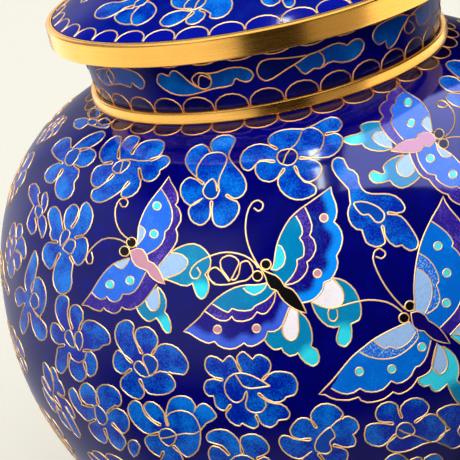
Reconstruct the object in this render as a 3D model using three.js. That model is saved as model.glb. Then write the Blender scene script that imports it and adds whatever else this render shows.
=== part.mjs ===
// A lidded funeral urn in cloisonné: an enamelled copper jar with turned brass rings at its
// foot, at the root of its neck and round its lid. The jar is hollow and empty, and the lid
// lifts straight off. Millimetres, +Z up, origin at the middle of the underside.
import * as THREE from "three";

// The jar
const FOOT_HEIGHT = 8; // the brass foot lifts the jar this far off the table
const BASE_RADIUS = 53; // the jar's wall where it lands on the foot
const BASE_LEAN = 33; // degrees from upright, the wall's lean at the base
const BELLY_RADIUS = 95;
const BELLY_HEIGHT = 106; // the widest level
const SHOULDER_HEIGHT = 173.2; // the narrow ledge that carries the neck bead
const SHOULDER_RADIUS = 53;
const SHOULDER_FALL = 33; // degrees below level, the shoulder's slope beside the ledge
const NECK_RADIUS = 51.2; // at the ledge
const MOUTH_RADIUS = 54.1;
const MOUTH_HEIGHT = 193.5;
const WALL = 2.4; // copper with enamel on both faces

// How far each curve of the jar's outline holds its starting direction
const SHOULDER_PULL = 7;
const BELLY_PULL_UP = 59;
const BELLY_PULL_DOWN = 31;
const BASE_PULL = 34.5;

// The lid
const LID_RADIUS = 59.7; // the enamelled dome, inside its brass rim
const LID_EDGE_HEIGHT = 199.05; // where the dome springs from the rim
const DOME_EDGE_SLOPE = 26; // degrees above level
const DOME_WALL = 2.2;
const SEAT_THICKNESS = 1.5; // the flat underside that rests on the mouth
const COLLAR_RADIUS = 49.6; // the collar that drops into the neck
const COLLAR_WALL = 1.6;
const COLLAR_DEPTH = 8.5;

// The brass
const RIM_RADIUS = 61.7;
const RIM_DROP = 0.8; // the rim's lower flange, under the lid's edge
const RIM_FLANGE_RADIUS = 56;
const RIM_ROUNDING = 0.6;
const BEAD_REACH = 53.6;
const BEAD_HEIGHT = 3.7;
const FOOT_RADIUS = 56;
const FOOT_INNER_RADIUS = 46;
const FOOT_BAND_HEIGHT = 4.2; // the foot's plain band, below its hollow moulding
const FOOT_ROUNDING = 0.7;
const RING_GAP = 0.2; // solder line between a brass ring and the piece it holds

// Facets
const SIDES = 48;
const LONG_CURVE_STEPS = 11;
const SHORT_CURVE_STEPS = 4;

const radians = THREE.MathUtils.degToRad;

// A point of an outline: its distance from the axis and its height.
function at(radius, height) {
  return new THREE.Vector2(radius, height);
}

// The point a given way from another, along a direction in degrees above level.
function reach(from, degrees, length) {
  return at(from.x + length * Math.cos(radians(degrees)), from.y + length * Math.sin(radians(degrees)));
}

// The jar's outer wall from its base up over the belly to the shoulder ledge.
function jarWall() {
  const base = at(BASE_RADIUS, FOOT_HEIGHT);
  const belly = at(BELLY_RADIUS, BELLY_HEIGHT);
  const shoulder = at(SHOULDER_RADIUS, SHOULDER_HEIGHT);
  const lower = new THREE.CubicBezierCurve(
    base,
    reach(base, 90 - BASE_LEAN, BASE_PULL),
    reach(belly, -90, BELLY_PULL_DOWN),
    belly,
  );
  const upper = new THREE.CubicBezierCurve(
    belly,
    reach(belly, 90, BELLY_PULL_UP),
    reach(shoulder, -SHOULDER_FALL, SHOULDER_PULL),
    shoulder,
  );
  return [...lower.getPoints(LONG_CURVE_STEPS), ...upper.getPoints(LONG_CURVE_STEPS).slice(1)];
}

// The same line set in by a wall's thickness, square to the line at each of its points.
function setIn(line, thickness) {
  return line.map((point, i) => {
    const before = line[Math.max(i - 1, 0)];
    const after = line[Math.min(i + 1, line.length - 1)];
    const along = after.clone().sub(before).normalize();
    return at(point.x - along.y * thickness, point.y + along.x * thickness);
  });
}

// Points of a round arc, from one angle to another in degrees.
function arc(centre, radius, fromDegrees, toDegrees, steps) {
  return Array.from({ length: steps + 1 }, (_, i) =>
    reach(centre, fromDegrees + ((toDegrees - fromDegrees) * i) / steps, radius),
  );
}

// A solid turned about +Z from an outline that runs anticlockwise, seen with the axis at the left.
function turned(name, outline, material) {
  const geometry = new THREE.LatheGeometry(outline, SIDES).rotateX(Math.PI / 2);
  const mesh = new THREE.Mesh(geometry, material);
  mesh.name = name;
  return mesh;
}

function closed(outline) {
  return [...outline, outline[0].clone()];
}

// The hollow jar: belly, shoulder and flared neck in one wall, with a flat floor.
function urnBody(material) {
  const outside = jarWall();
  const floor = FOOT_HEIGHT + WALL;
  const inside = setIn(outside, WALL).filter((point) => point.y > floor + WALL / 2);
  return turned(
    "urn_body",
    [
      at(0, FOOT_HEIGHT),
      ...outside,
      at(NECK_RADIUS, SHOULDER_HEIGHT),
      at(MOUTH_RADIUS, MOUTH_HEIGHT),
      at(MOUTH_RADIUS - WALL, MOUTH_HEIGHT),
      at(NECK_RADIUS - WALL, SHOULDER_HEIGHT),
      ...inside.reverse(),
      at(BASE_RADIUS - WALL / 2, floor),
      at(0, floor),
    ],
    material,
  );
}

// The lid: a thin dome with a turned-down edge, a flat seat and a collar that drops into the neck.
function lid(material) {
  const sphere = LID_RADIUS / Math.sin(radians(DOME_EDGE_SLOPE));
  const centre = at(0, LID_EDGE_HEIGHT - sphere * Math.cos(radians(DOME_EDGE_SLOPE)));
  const edge = 90 - DOME_EDGE_SLOPE;
  const underside = arc(centre, sphere - DOME_WALL, 90, edge + 1, LONG_CURVE_STEPS - 3);
  const cavityRadius = underside.at(-1).x;
  const seatTop = MOUTH_HEIGHT + SEAT_THICKNESS;
  const collarFoot = MOUTH_HEIGHT - COLLAR_DEPTH;
  return turned(
    "lid",
    [
      ...underside,
      at(cavityRadius, seatTop),
      at(COLLAR_RADIUS - COLLAR_WALL, seatTop),
      at(COLLAR_RADIUS - COLLAR_WALL, collarFoot),
      at(COLLAR_RADIUS, collarFoot),
      at(COLLAR_RADIUS, MOUTH_HEIGHT),
      at(LID_RADIUS, MOUTH_HEIGHT),
      ...arc(centre, sphere, edge, 90, LONG_CURVE_STEPS - 2),
    ],
    material,
  );
}

// The lid's brass rim: an upright band with a flange that turns in under the lid's edge.
function lidRim(material) {
  const inner = LID_RADIUS + RING_GAP;
  const low = MOUTH_HEIGHT - RIM_DROP;
  const corner = RIM_RADIUS - RIM_ROUNDING;
  const lowerEdge = at(corner, low + RIM_ROUNDING);
  const upperEdge = at(corner, LID_EDGE_HEIGHT - RIM_ROUNDING);
  return turned(
    "lid_rim",
    closed([
      at(RIM_FLANGE_RADIUS, low),
      ...arc(lowerEdge, RIM_ROUNDING, -90, 0, SHORT_CURVE_STEPS / 2),
      ...arc(upperEdge, RIM_ROUNDING, 0, 90, SHORT_CURVE_STEPS / 2),
      at(inner, LID_EDGE_HEIGHT),
      at(inner, MOUTH_HEIGHT),
      at(RIM_FLANGE_RADIUS, MOUTH_HEIGHT),
    ]),
    material,
  );
}

// The half-round brass bead at the root of the neck, standing on the shoulder ledge.
function neckBead(material) {
  const flare = (MOUTH_RADIUS - NECK_RADIUS) / (MOUTH_HEIGHT - SHOULDER_HEIGHT);
  const middle = at(BEAD_REACH - BEAD_HEIGHT / 2, SHOULDER_HEIGHT + BEAD_HEIGHT / 2);
  const topInner = NECK_RADIUS + flare * BEAD_HEIGHT + RING_GAP;
  return turned(
    "neck_bead",
    closed([
      at(NECK_RADIUS + RING_GAP, SHOULDER_HEIGHT),
      at(SHOULDER_RADIUS, SHOULDER_HEIGHT),
      ...arc(middle, BEAD_HEIGHT / 2, -45, 80, SHORT_CURVE_STEPS),
      at(topInner, SHOULDER_HEIGHT + BEAD_HEIGHT),
    ]),
    material,
  );
}

// The brass foot: a plain band with a hollow moulding above it, rising to the jar's base.
function footRing(material) {
  const cove = new THREE.QuadraticBezierCurve(
    at(FOOT_RADIUS - FOOT_ROUNDING, FOOT_BAND_HEIGHT),
    at(BASE_RADIUS, FOOT_BAND_HEIGHT),
    at(BASE_RADIUS, FOOT_HEIGHT),
  );
  const corner = at(FOOT_RADIUS - FOOT_ROUNDING, FOOT_ROUNDING);
  return turned(
    "foot_ring",
    closed([
      at(FOOT_INNER_RADIUS, 0),
      ...arc(corner, FOOT_ROUNDING, -90, 0, SHORT_CURVE_STEPS / 2),
      at(FOOT_RADIUS, FOOT_BAND_HEIGHT - FOOT_ROUNDING),
      ...cove.getPoints(SHORT_CURVE_STEPS),
      at(FOOT_INNER_RADIUS, FOOT_HEIGHT),
    ]),
    material,
  );
}

const enamel = new THREE.MeshStandardMaterial({ color: 0x17127a, roughness: 0.14, metalness: 0 });
const brass = new THREE.MeshStandardMaterial({ color: 0xd9a441, roughness: 0.3, metalness: 1 });

const urn = new THREE.Group();
urn.add(footRing(brass), urnBody(enamel), neckBead(brass), lid(enamel), lidRim(brass));

export default urn;
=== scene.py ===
"""The looks of a lidded cloisonné funeral urn: enamel cells between gilt wires, and turned brass rings.

Drawing is done in millimetres, with azimuth 0 towards -Y, and meshes are made in metres.
"""

import math
import random

import bpy
import numpy as np
from mathutils import Matrix, Vector
from mathutils.bvhtree import BVHTree
from mathutils.geometry import delaunay_2d_cdt


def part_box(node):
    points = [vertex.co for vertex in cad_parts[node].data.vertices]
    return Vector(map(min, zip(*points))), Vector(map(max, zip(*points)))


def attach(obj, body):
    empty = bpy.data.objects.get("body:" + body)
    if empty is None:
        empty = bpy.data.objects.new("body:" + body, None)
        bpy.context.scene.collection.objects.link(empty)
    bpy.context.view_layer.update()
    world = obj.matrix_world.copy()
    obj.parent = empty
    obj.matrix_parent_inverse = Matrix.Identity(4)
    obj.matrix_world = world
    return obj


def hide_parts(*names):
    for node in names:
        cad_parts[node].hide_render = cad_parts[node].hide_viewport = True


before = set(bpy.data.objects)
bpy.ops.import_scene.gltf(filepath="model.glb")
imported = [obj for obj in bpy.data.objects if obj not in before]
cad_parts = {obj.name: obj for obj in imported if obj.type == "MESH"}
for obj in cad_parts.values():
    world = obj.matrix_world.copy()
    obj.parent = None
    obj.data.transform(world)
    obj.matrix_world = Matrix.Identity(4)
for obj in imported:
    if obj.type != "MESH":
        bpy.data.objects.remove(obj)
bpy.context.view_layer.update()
MM = 0.001
# A length too small to matter, and what keeps a division from zero
TINY = 1e-6
NEVER_ZERO = 1e-9


def extent(node):
    """Lowest and highest corner of a CAD node, in millimetres."""
    low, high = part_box(node)
    return low / MM, high / MM


# The jar, the lid and the rings, as the frame gives them
JAR_LOW, JAR_HIGH = extent("urn_body")
LID_LOW, LID_HIGH = extent("lid")
RIM_LOW, RIM_HIGH = extent("lid_rim")
BEAD_LOW, BEAD_HIGH = extent("neck_bead")
FOOT_HEIGHT = JAR_LOW.z
BELLY_RADIUS = JAR_HIGH.x
MOUTH_HEIGHT = JAR_HIGH.z
SHOULDER_HEIGHT = BEAD_LOW.z
BEAD_REACH = BEAD_HIGH.x
BEAD_HEIGHT = BEAD_HIGH.z - BEAD_LOW.z
LID_RADIUS = LID_HIGH.x
LID_TOP = LID_HIGH.z
COLLAR_FOOT = LID_LOW.z
RIM_RADIUS = RIM_HIGH.x
RIM_TOP = RIM_HIGH.z
RIM_BOTTOM = RIM_LOW.z
FOOT_RADIUS = extent("foot_ring")[1].x

# The jar's outline between those levels
BASE_RADIUS = 53.0
BASE_LEAN = 33.0
BASE_PULL = 34.5
BELLY_HEIGHT = 106.0
BELLY_PULL_DOWN = 31.0
BELLY_PULL_UP = 59.0
SHOULDER_RADIUS = 53.0
SHOULDER_FALL = 33.0
SHOULDER_PULL = 7.0
NECK_RADIUS = 51.2
MOUTH_RADIUS = 54.1
WALL = 2.4
DOME_WALL = 2.2
SEAT_THICKNESS = 1.5
COLLAR_RADIUS = 49.6
COLLAR_WALL = 1.6
RIM_FLANGE_RADIUS = 56.0
FOOT_INNER_RADIUS = 46.0
FOOT_BAND_HEIGHT = 4.2
RING_GAP = 0.2

# The cell wire: a gilt ribbon on edge, ground down with the enamel and left a hair proud, its crest soft
WIRE_WIDTH = 0.48
WIRE_CREST = 0.2
WIRE_ROOT = -0.25
WIRE_SECTION = [
    (share * WIRE_WIDTH / 2, height)
    for share, height in (
        (-1, WIRE_ROOT), (-1, 0.04), (-0.6, 0.16), (0, WIRE_CREST), (0.6, 0.16), (1, 0.04), (1, WIRE_ROOT)
    )
]
# Enamel cells lie in thin steps over the ground coat, each step hidden by a wire
CELL_LIFT = 0.035
CELL_STEP = 0.02
CELL_ROOT = -0.2
CELL_GRID = 1.5
FADE_GRID = 0.8
CELL_SHARPEST = math.radians(16)
CELL_TOLERANCE = 1e-4
# The triangulation's number for keeping what lies inside the outline
KEEP_INSIDE = 1

# The camera, fitted to the rim, the bead and the left outline of the photograph
PHOTO_SIDE = 460
FOCAL_PIXELS = 1506.5
CAMERA_PLACE = Vector((0.0, -434.7, 296.7))
CAMERA_PAN = math.radians(-2.8787)
CAMERA_TILT = math.radians(21.8466)
CAMERA_ROLL = math.radians(-12.1273)
SENSOR = 36.0


def camera_axes():
    """The camera's forward, right and up directions."""
    forward = Vector((
        math.sin(CAMERA_PAN) * math.cos(CAMERA_TILT),
        math.cos(CAMERA_PAN) * math.cos(CAMERA_TILT),
        -math.sin(CAMERA_TILT),
    ))
    level = Vector((math.cos(CAMERA_PAN), -math.sin(CAMERA_PAN), 0.0))
    lift = level.cross(forward)
    right = math.cos(CAMERA_ROLL) * level + math.sin(CAMERA_ROLL) * lift
    up = -math.sin(CAMERA_ROLL) * level + math.cos(CAMERA_ROLL) * lift
    return forward, right, up


FORWARD, RIGHT, UP = camera_axes()


def sight(pixel):
    """The direction in which the camera sees a pixel of the photograph."""
    half = PHOTO_SIDE / 2
    across = (pixel[0] - half) / FOCAL_PIXELS
    down = (pixel[1] - half) / FOCAL_PIXELS
    return (FORWARD + RIGHT * across - UP * down).normalized()


def seen_at(point):
    """The pixel at which the camera sees a point."""
    way = point - CAMERA_PLACE
    depth = way.dot(FORWARD)
    half = PHOTO_SIDE / 2
    return half + FOCAL_PIXELS * way.dot(RIGHT) / depth, half - FOCAL_PIXELS * way.dot(UP) / depth


# Outlines of the turned faces, as (radius, height)


def reach(start, degrees, length):
    return (
        start[0] + length * math.cos(math.radians(degrees)),
        start[1] + length * math.sin(math.radians(degrees)),
    )


def bezier(a, b, c, d, steps):
    t = np.linspace(0, 1, steps + 1)[:, None]
    a, b, c, d = (np.array(p, float) for p in (a, b, c, d))
    return (1 - t) ** 3 * a + 3 * (1 - t) ** 2 * t * b + 3 * (1 - t) * t * t * c + t ** 3 * d


def jar_outline(steps=60):
    """The jar's outer wall from its base over the belly to the shoulder ledge."""
    base = (BASE_RADIUS, FOOT_HEIGHT)
    belly = (BELLY_RADIUS, BELLY_HEIGHT)
    shoulder = (SHOULDER_RADIUS, SHOULDER_HEIGHT)
    leaving = reach(base, 90 - BASE_LEAN, BASE_PULL)
    lower = bezier(base, leaving, reach(belly, -90, BELLY_PULL_DOWN), belly, steps)
    arriving = reach(shoulder, -SHOULDER_FALL, SHOULDER_PULL)
    upper = bezier(belly, reach(belly, 90, BELLY_PULL_UP), arriving, shoulder, steps)
    return np.vstack([lower, upper[1:]])


def neck_outline(steps=12):
    return np.linspace((NECK_RADIUS, SHOULDER_HEIGHT), (MOUTH_RADIUS, MOUTH_HEIGHT), steps + 1)


def dome_outline(steps=48, inset=0.0):
    """The lid's dome from its edge up to the crown, or the same line set in by the lid's thickness."""
    rise = LID_TOP - RIM_TOP
    sphere = (LID_RADIUS ** 2 + rise ** 2) / (2 * rise)
    edge = math.asin(LID_RADIUS / sphere)
    angles = np.linspace(edge, 0, steps + 1)
    round_radius = sphere - inset
    heights = LID_TOP - sphere + round_radius * np.cos(angles)
    return np.column_stack([round_radius * np.sin(angles), heights])


def set_in(line, thickness):
    along = np.gradient(line, axis=0)
    along /= np.linalg.norm(along, axis=1)[:, None]
    return line + thickness * np.column_stack([-along[:, 1], along[:, 0]])


# Drawing on the turned faces

PIXELS_PER_MM = 3.85


class Wall:
    """One turned face, which a line of sight or a drawing can be carried on to."""

    SIDES = 540
    # A line that misses the wall is followed this far, with so many stops
    FARTHEST = 700.0
    STOPS = 90

    def __init__(self, outline):
        self.outline = np.array(outline, float)
        steps = np.diff(self.outline, axis=0)
        self.run = np.concatenate([[0.0], np.cumsum(np.hypot(steps[:, 0], steps[:, 1]))])
        along = np.gradient(self.outline, axis=0)
        along /= np.linalg.norm(along, axis=1)[:, None]
        facing_out = np.column_stack([along[:, 1], -along[:, 0]])
        spans = np.ptp(self.outline, axis=0)
        self.by_height = spans[1] > spans[0]
        keys = self.outline[:, 1 if self.by_height else 0]
        order = np.argsort(keys)
        self.keys = keys[order]
        self.facing_out = facing_out[order]
        turn = np.linspace(0, 2 * math.pi, self.SIDES, endpoint=False)
        rows = [[(r * math.sin(a), -r * math.cos(a), z) for a in turn] for r, z in self.outline]
        faces = [
            (i * self.SIDES + j, i * self.SIDES + (j + 1) % self.SIDES,
             (i + 1) * self.SIDES + (j + 1) % self.SIDES, (i + 1) * self.SIDES + j)
            for i in range(len(rows) - 1) for j in range(self.SIDES)
        ]
        self.tree = BVHTree.FromPolygons([p for row in rows for p in row], faces)

    def facing(self, place):
        """The direction that the wall faces at a place on it."""
        radius = math.hypot(place.x, place.y)
        if radius < TINY:
            return Vector((0, 0, 1))
        key = place.z if self.by_height else radius
        out = np.interp(key, self.keys, self.facing_out[:, 0])
        rise = np.interp(key, self.keys, self.facing_out[:, 1])
        return Vector((out * place.x / radius, out * place.y / radius, rise)).normalized()

    def meet(self, start, way):
        """Where a line from a start meets the wall's outside, or the nearest place to it."""
        place = self.tree.ray_cast(start, way)[0]
        if place is None or self.facing(place).dot(way) > 0:
            stops = np.linspace(0, self.FARTHEST, self.STOPS)
            passed = [self.tree.find_nearest(start + way * t) for t in stops]
            place = min(passed, key=lambda near: near[3])[0]
        return place

    def at(self, azimuth, run):
        """The place a given way up the outline, at an azimuth in degrees."""
        radius = float(np.interp(run, self.run, self.outline[:, 0]))
        height = float(np.interp(run, self.run, self.outline[:, 1]))
        angle = math.radians(azimuth)
        return Vector((radius * math.sin(angle), -radius * math.cos(angle), height))

    def cast(self, starts, way):
        """Places on the wall, and the way it faces there, under points that are moved along a direction."""
        places = [self.meet(start, way) for start in starts]
        return np.array(places, float), np.array([self.facing(p) for p in places], float)


class Board:
    """A flat drawing board that touches a wall at one place, and is pressed on to it with its drawings."""

    AWAY = 60.0
    unit = 1.0

    def __init__(self, wall, centre, turn=0.0):
        self.wall = wall
        self.centre = centre
        self.normal = wall.facing(centre)
        level = Vector((0, 0, 1)).cross(self.normal)
        level = level.normalized() if level.length > TINY else Vector((1, 0, 0))
        lift = self.normal.cross(level)
        self.across = math.cos(turn) * level + math.sin(turn) * lift
        self.up = -math.sin(turn) * level + math.cos(turn) * lift

    def press(self, flat):
        above = self.centre + self.normal * self.AWAY
        starts = [above + self.across * float(x) + self.up * float(y) for x, y in flat]
        return self.wall.cast(starts, -self.normal)


class Sheet:
    """The photograph laid over a wall: its points are pixels."""

    unit = 1 / PIXELS_PER_MM

    def __init__(self, wall):
        self.wall = wall

    def press(self, flat):
        places = [self.wall.meet(CAMERA_PLACE, sight(spot)) for spot in flat]
        return np.array(places, float), np.array([self.wall.facing(p) for p in places], float)


class Stamp:
    """A figure of the photograph laid again elsewhere: its points are pixels round the figure's heart."""

    def __init__(self, board, heart, unit=1 / PIXELS_PER_MM):
        self.board = board
        self.wall = board.wall
        self.heart = np.array(heart, float)
        self.unit = unit

    def press(self, flat):
        return self.board.press((np.array(flat, float) - self.heart) * (self.unit, -self.unit))


class Girdle:
    """A strip wrapped round a wall; x runs round it in millimetres at one level, and y up the wall."""

    unit = 1.0

    def __init__(self, wall, level):
        self.wall = wall
        self.level = level
        self.radius = float(np.interp(level, wall.run, wall.outline[:, 0]))

    def press(self, flat):
        places = [self.wall.at(math.degrees(x / self.radius), self.level + y) for x, y in flat]
        return np.array(places, float), np.array([self.wall.facing(p) for p in places], float)


# Lines

STROKE_STEPS = 10


def smooth(points, closed=False):
    """A smooth line through points."""
    p = np.array(points, float)
    ends = (p[-1:], p[:2]) if closed else (2 * p[:1] - p[1:2], 2 * p[-1:] - p[-2:-1])
    q = np.vstack([ends[0], p, ends[1]])
    t = np.linspace(0, 1, STROKE_STEPS, endpoint=False)[:, None]
    parts = [
        0.5 * (2 * b + (c - a) * t + (2 * a - 5 * b + 4 * c - d) * t ** 2
               + (3 * b - 3 * c + d - a) * t ** 3)
        for a, b, c, d in zip(q[:-3], q[1:-2], q[2:-1], q[3:])
    ]
    if not closed:
        parts.append(p[-1:])
    return np.vstack(parts)


def strokes(groups, closed):
    """A line of smooth strokes: each runs on to the first point of the next, where it turns sharply."""
    parts = []
    for i, points in enumerate(groups):
        last = i + 1 == len(groups)
        if last and not closed:
            parts.append(smooth(points))
        else:
            parts.append(smooth([*points, groups[(i + 1) % len(groups)][0]])[:-1])
    return np.vstack(parts)


def thinned(line, longest=1.5, sharpest=math.radians(13), least=0.12):
    """The points of a fine line that its shape needs."""
    kept = [0]
    for i in range(1, len(line) - 1):
        back = line[i] - line[kept[-1]]
        ahead = line[i + 1] - line[i]
        length = math.hypot(*back)
        if length < least:
            continue
        turn = abs(math.atan2(back[0] * ahead[1] - back[1] * ahead[0], back @ ahead))
        if length > longest or turn > sharpest:
            kept.append(i)
    if math.hypot(*(line[-1] - line[kept[-1]])) > least:
        kept.append(len(line) - 1)
    return line[kept]


def ring(centre, radius, steps=28):
    t = np.linspace(0, 2 * math.pi, steps, endpoint=False)
    return np.column_stack([centre[0] + radius * np.cos(t), centre[1] + radius * np.sin(t)])


# Wires and cells collect in stores, and each store becomes one piece

WIRES = {}
CELLS = {}
# Places of the wires on each wall, which tell what is still bare
LAID = {}


def wire(store, board, line, closed=False):
    """Lays a wire along a line of the board."""
    line = np.array(line, float) * board.unit
    flat = thinned(np.vstack([line, line[:1]]))[:-1] if closed else thinned(line)
    places, normals = board.press(flat / board.unit)
    LAID.setdefault(board.wall, []).append(places)
    ahead = np.roll(places, -1, 0) - places
    behind = places - np.roll(places, 1, 0)
    ahead /= np.linalg.norm(ahead, axis=1)[:, None] + NEVER_ZERO
    behind /= np.linalg.norm(behind, axis=1)[:, None] + NEVER_ZERO
    if not closed:
        ahead[-1], behind[0] = behind[-1], ahead[0]
    side = np.cross(normals, ahead + behind)
    side /= np.linalg.norm(side, axis=1)[:, None] + NEVER_ZERO
    verts, faces = WIRES.setdefault(store, ([], []))
    first, count, n = len(verts), len(WIRE_SECTION), len(places)
    for place, normal, across in zip(places, normals, side):
        verts.extend(tuple((place + across * x + normal * z) * MM) for x, z in WIRE_SECTION)
    for i in range(n if closed else n - 1):
        a, b = first + i * count, first + (i + 1) % n * count
        faces.extend((a + j, a + (j + 1) % count, b + (j + 1) % count, b + j) for j in range(count))
    if not closed:
        faces.append(tuple(range(first + count - 1, first - 1, -1)))
        faces.append(tuple(range(first + (n - 1) * count, first + n * count)))


def cell(store, board, outline, enamel, layer=0, fade=None, grid=CELL_GRID):
    """Fills a closed outline with enamel; fade gives each point's share of the second colour."""
    edge = thinned(np.array(outline, float) * board.unit, grid, CELL_SHARPEST)
    low, high = edge.min(0), edge.max(0)
    inner = [
        (x, y)
        for x in np.arange(low[0] + grid / 2, high[0], grid)
        for y in np.arange(low[1] + grid / 2, high[1], grid)
    ]
    points = [Vector(p) for p in edge] + [Vector(p) for p in inner]
    border = [list(range(len(edge)))]
    flat, _, triangles, _, _, _ = delaunay_2d_cdt(points, [], border, KEEP_INSIDE, CELL_TOLERANCE)
    if not triangles:
        return
    used = sorted({i for t in triangles for i in t})
    index = {v: k for k, v in enumerate(used)}
    flat = np.array([flat[i] for i in used], float) / board.unit
    triangles = [[index[i] for i in t] for t in triangles]
    places, normals = board.press(flat)
    shades = [0.0 if fade is None else float(fade(x, y)) for x, y in flat]
    corners = places[triangles[0]]
    if np.cross(corners[1] - corners[0], corners[2] - corners[0]) @ normals[triangles[0][0]] < 0:
        triangles = [t[::-1] for t in triangles]
    top = places + normals * (CELL_LIFT + CELL_STEP * layer)
    root = places + normals * CELL_ROOT
    verts, faces, kinds, fades, facing = CELLS.setdefault(store, ([], [], [], [], []))
    first, n = len(verts), len(flat)
    verts.extend(map(tuple, np.vstack([top, root]) * MM))
    facing.extend(map(tuple, np.vstack([normals, -normals])))
    fades.extend(shades + shades)
    sides = {}
    for a, b, c in triangles:
        faces.append((first + a, first + b, first + c))
        faces.append((first + n + c, first + n + b, first + n + a))
        for p, q in ((a, b), (b, c), (c, a)):
            if not sides.pop((q, p), None):
                sides[(p, q)] = True
    faces.extend((first + q, first + p, first + n + p, first + n + q) for p, q in sides)
    kinds.extend([enamel] * (2 * len(triangles) + len(sides)))


# Figures: blossoms, cloud scrolls, butterflies and scallops

SPOT_PIXELS = 4.1
EYE_PIXELS = 5.0
SPOT_LAYER = 5
BODY_LAYER = 6
TIP_SHADE = 0.4
# A wing's fade: its share at a spot itself, were it not held to 1, and its fall over one span
FADE_PEAK = 2.2
FADE_FALL = 1.9
# A scallop's arch: points, half width as a share of the pitch, and the power that squares its shoulders
ARCH_POINTS = 17
ARCH_HALF_WIDTH = 0.485
ARCH_POWER = 0.8
# The hairpins that a blossom's wire makes at the notches between its petals, in pixels
HAIRPIN_HALF_WIDTH = 1.25
HAIRPIN_LENGTH = 12.0
# Steps of the line that are looked at on either side of a notch
HAIRPIN_REACH = 3 * STROKE_STEPS
# Cosine of the widest notch that is folded to a hairpin, and the bend below which it is a petal's tip
HAIRPIN_OPENING = 0.2
PETAL_TIP = -0.1


def hairpins(groups):
    """A blossom's outline, clockwise, its wire folded to a hairpin at each narrow notch between petals."""
    line = strokes(groups, True)
    folded = line.copy()
    corner = 0
    for points in groups:
        tip = line[corner]
        ways = [line[(corner + side * STROKE_STEPS // 2) % len(line)] - tip for side in (-1, 1)]
        ways = [way / math.hypot(*way) for way in ways]
        axis = (ways[0] + ways[1]) / (math.hypot(*(ways[0] + ways[1])) + NEVER_ZERO)
        across = np.array([-axis[1], axis[0]])
        narrow = ways[0] @ ways[1] > HAIRPIN_OPENING and (ways[1] - ways[0]) @ across > PETAL_TIP
        for side in (-1, 1) if narrow else ():
            for step in range(1, HAIRPIN_REACH):
                k = (corner + side * step) % len(line)
                along, off = (line[k] - tip) @ axis, (line[k] - tip) @ across
                if along > HAIRPIN_LENGTH:
                    break
                bend = 1 - min(max(along, 0.0) / HAIRPIN_HALF_WIDTH, 1.0)
                least = HAIRPIN_HALF_WIDTH * math.sqrt(1 - bend * bend)
                least *= min(2 - 2 * along / HAIRPIN_LENGTH, 1.0)
                folded[k] += across * (side * max(side * off, least) - off)
        corner += STROKE_STEPS * len(points)
    return folded


def figure(store, board, shape, outline, enamel, heart_enamel, shade=0.0):
    """A blossom or a cloud scroll: its outline, the loops at its heart and its loose wires."""
    heart = np.array(shape["heart"], float)
    longest = np.hypot(*(outline - heart).T).max()

    def paler_tips(x, y):
        return shade + TIP_SHADE * (math.hypot(x - heart[0], y - heart[1]) / longest) ** 2

    cell(store, board, outline, enamel, 0, paler_tips)
    wire(store, board, outline, True)
    for points in shape.get("loops", ()):
        loop = smooth(points, True)
        cell(store, board, loop, heart_enamel, 1)
        wire(store, board, loop, True)
    for points in shape.get("lines", ()):
        wire(store, board, smooth(points))


def nearness(spots, span):
    """A share that is 1 within about a span of any of some spots, and falls to 0 a little beyond it."""
    spots = np.array(spots, float)

    def near(x, y):
        distance = np.hypot(*(spots - (x, y)).T).min()
        return min(max(FADE_PEAK - FADE_FALL * distance / span, 0.0), 1.0)

    return near


def butterfly(store, board, shape):
    """A butterfly: enamelled areas, each wired along its edge, then spots, body, eyes and feelers."""
    for area in shape["areas"]:
        edge = strokes(area["edge"], False)
        outline = np.vstack([edge, area["rest"]])
        if "margin" in area:
            fade = nearness(strokes(area["edge"][1:], False), area["margin"])
        else:
            fade = nearness(area["near"], area["span"]) if "near" in area else None
        cell(store, board, outline, area["enamel"], area["layer"], fade, FADE_GRID if fade else CELL_GRID)
        wire(store, board, edge)
    rounds = [(spot, SPOT_PIXELS, shape["spot_enamel"], SPOT_LAYER) for spot in shape["spots"]]
    rounds += [(eye, EYE_PIXELS, "eye_black", BODY_LAYER) for eye in shape["eyes"]]
    body = strokes(shape["body"], True)
    cell(store, board, body, shape["body_enamel"], BODY_LAYER)
    wire(store, board, body, True)
    for centre, radius, enamel, layer in rounds:
        cell(store, board, ring(centre, radius), enamel, layer)
        wire(store, board, ring(centre, radius), True)
    for points in shape["feelers"]:
        wire(store, board, smooth(points))


def scallops(store, girdle, count, cusp, height, enamel):
    """A row of arches round a wall; a height below zero hangs them."""
    pitch = 2 * math.pi * girdle.radius / count
    start = math.radians(cusp) * girdle.radius
    t = np.linspace(0, math.pi, ARCH_POINTS)
    for i in range(count):
        x = start + pitch * (i + 0.5 - ARCH_HALF_WIDTH * np.cos(t))
        arch = np.column_stack([x, height * np.sin(t) ** ARCH_POWER])
        cell(store, girdle, arch, enamel, 0)
        wire(store, girdle, arch)


# What the photograph shows, read off it in pixels. A blossom's edge has one stroke for each petal,
# clockwise from the notch before it; loops lie at its heart, and lines are loose wires.

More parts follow.
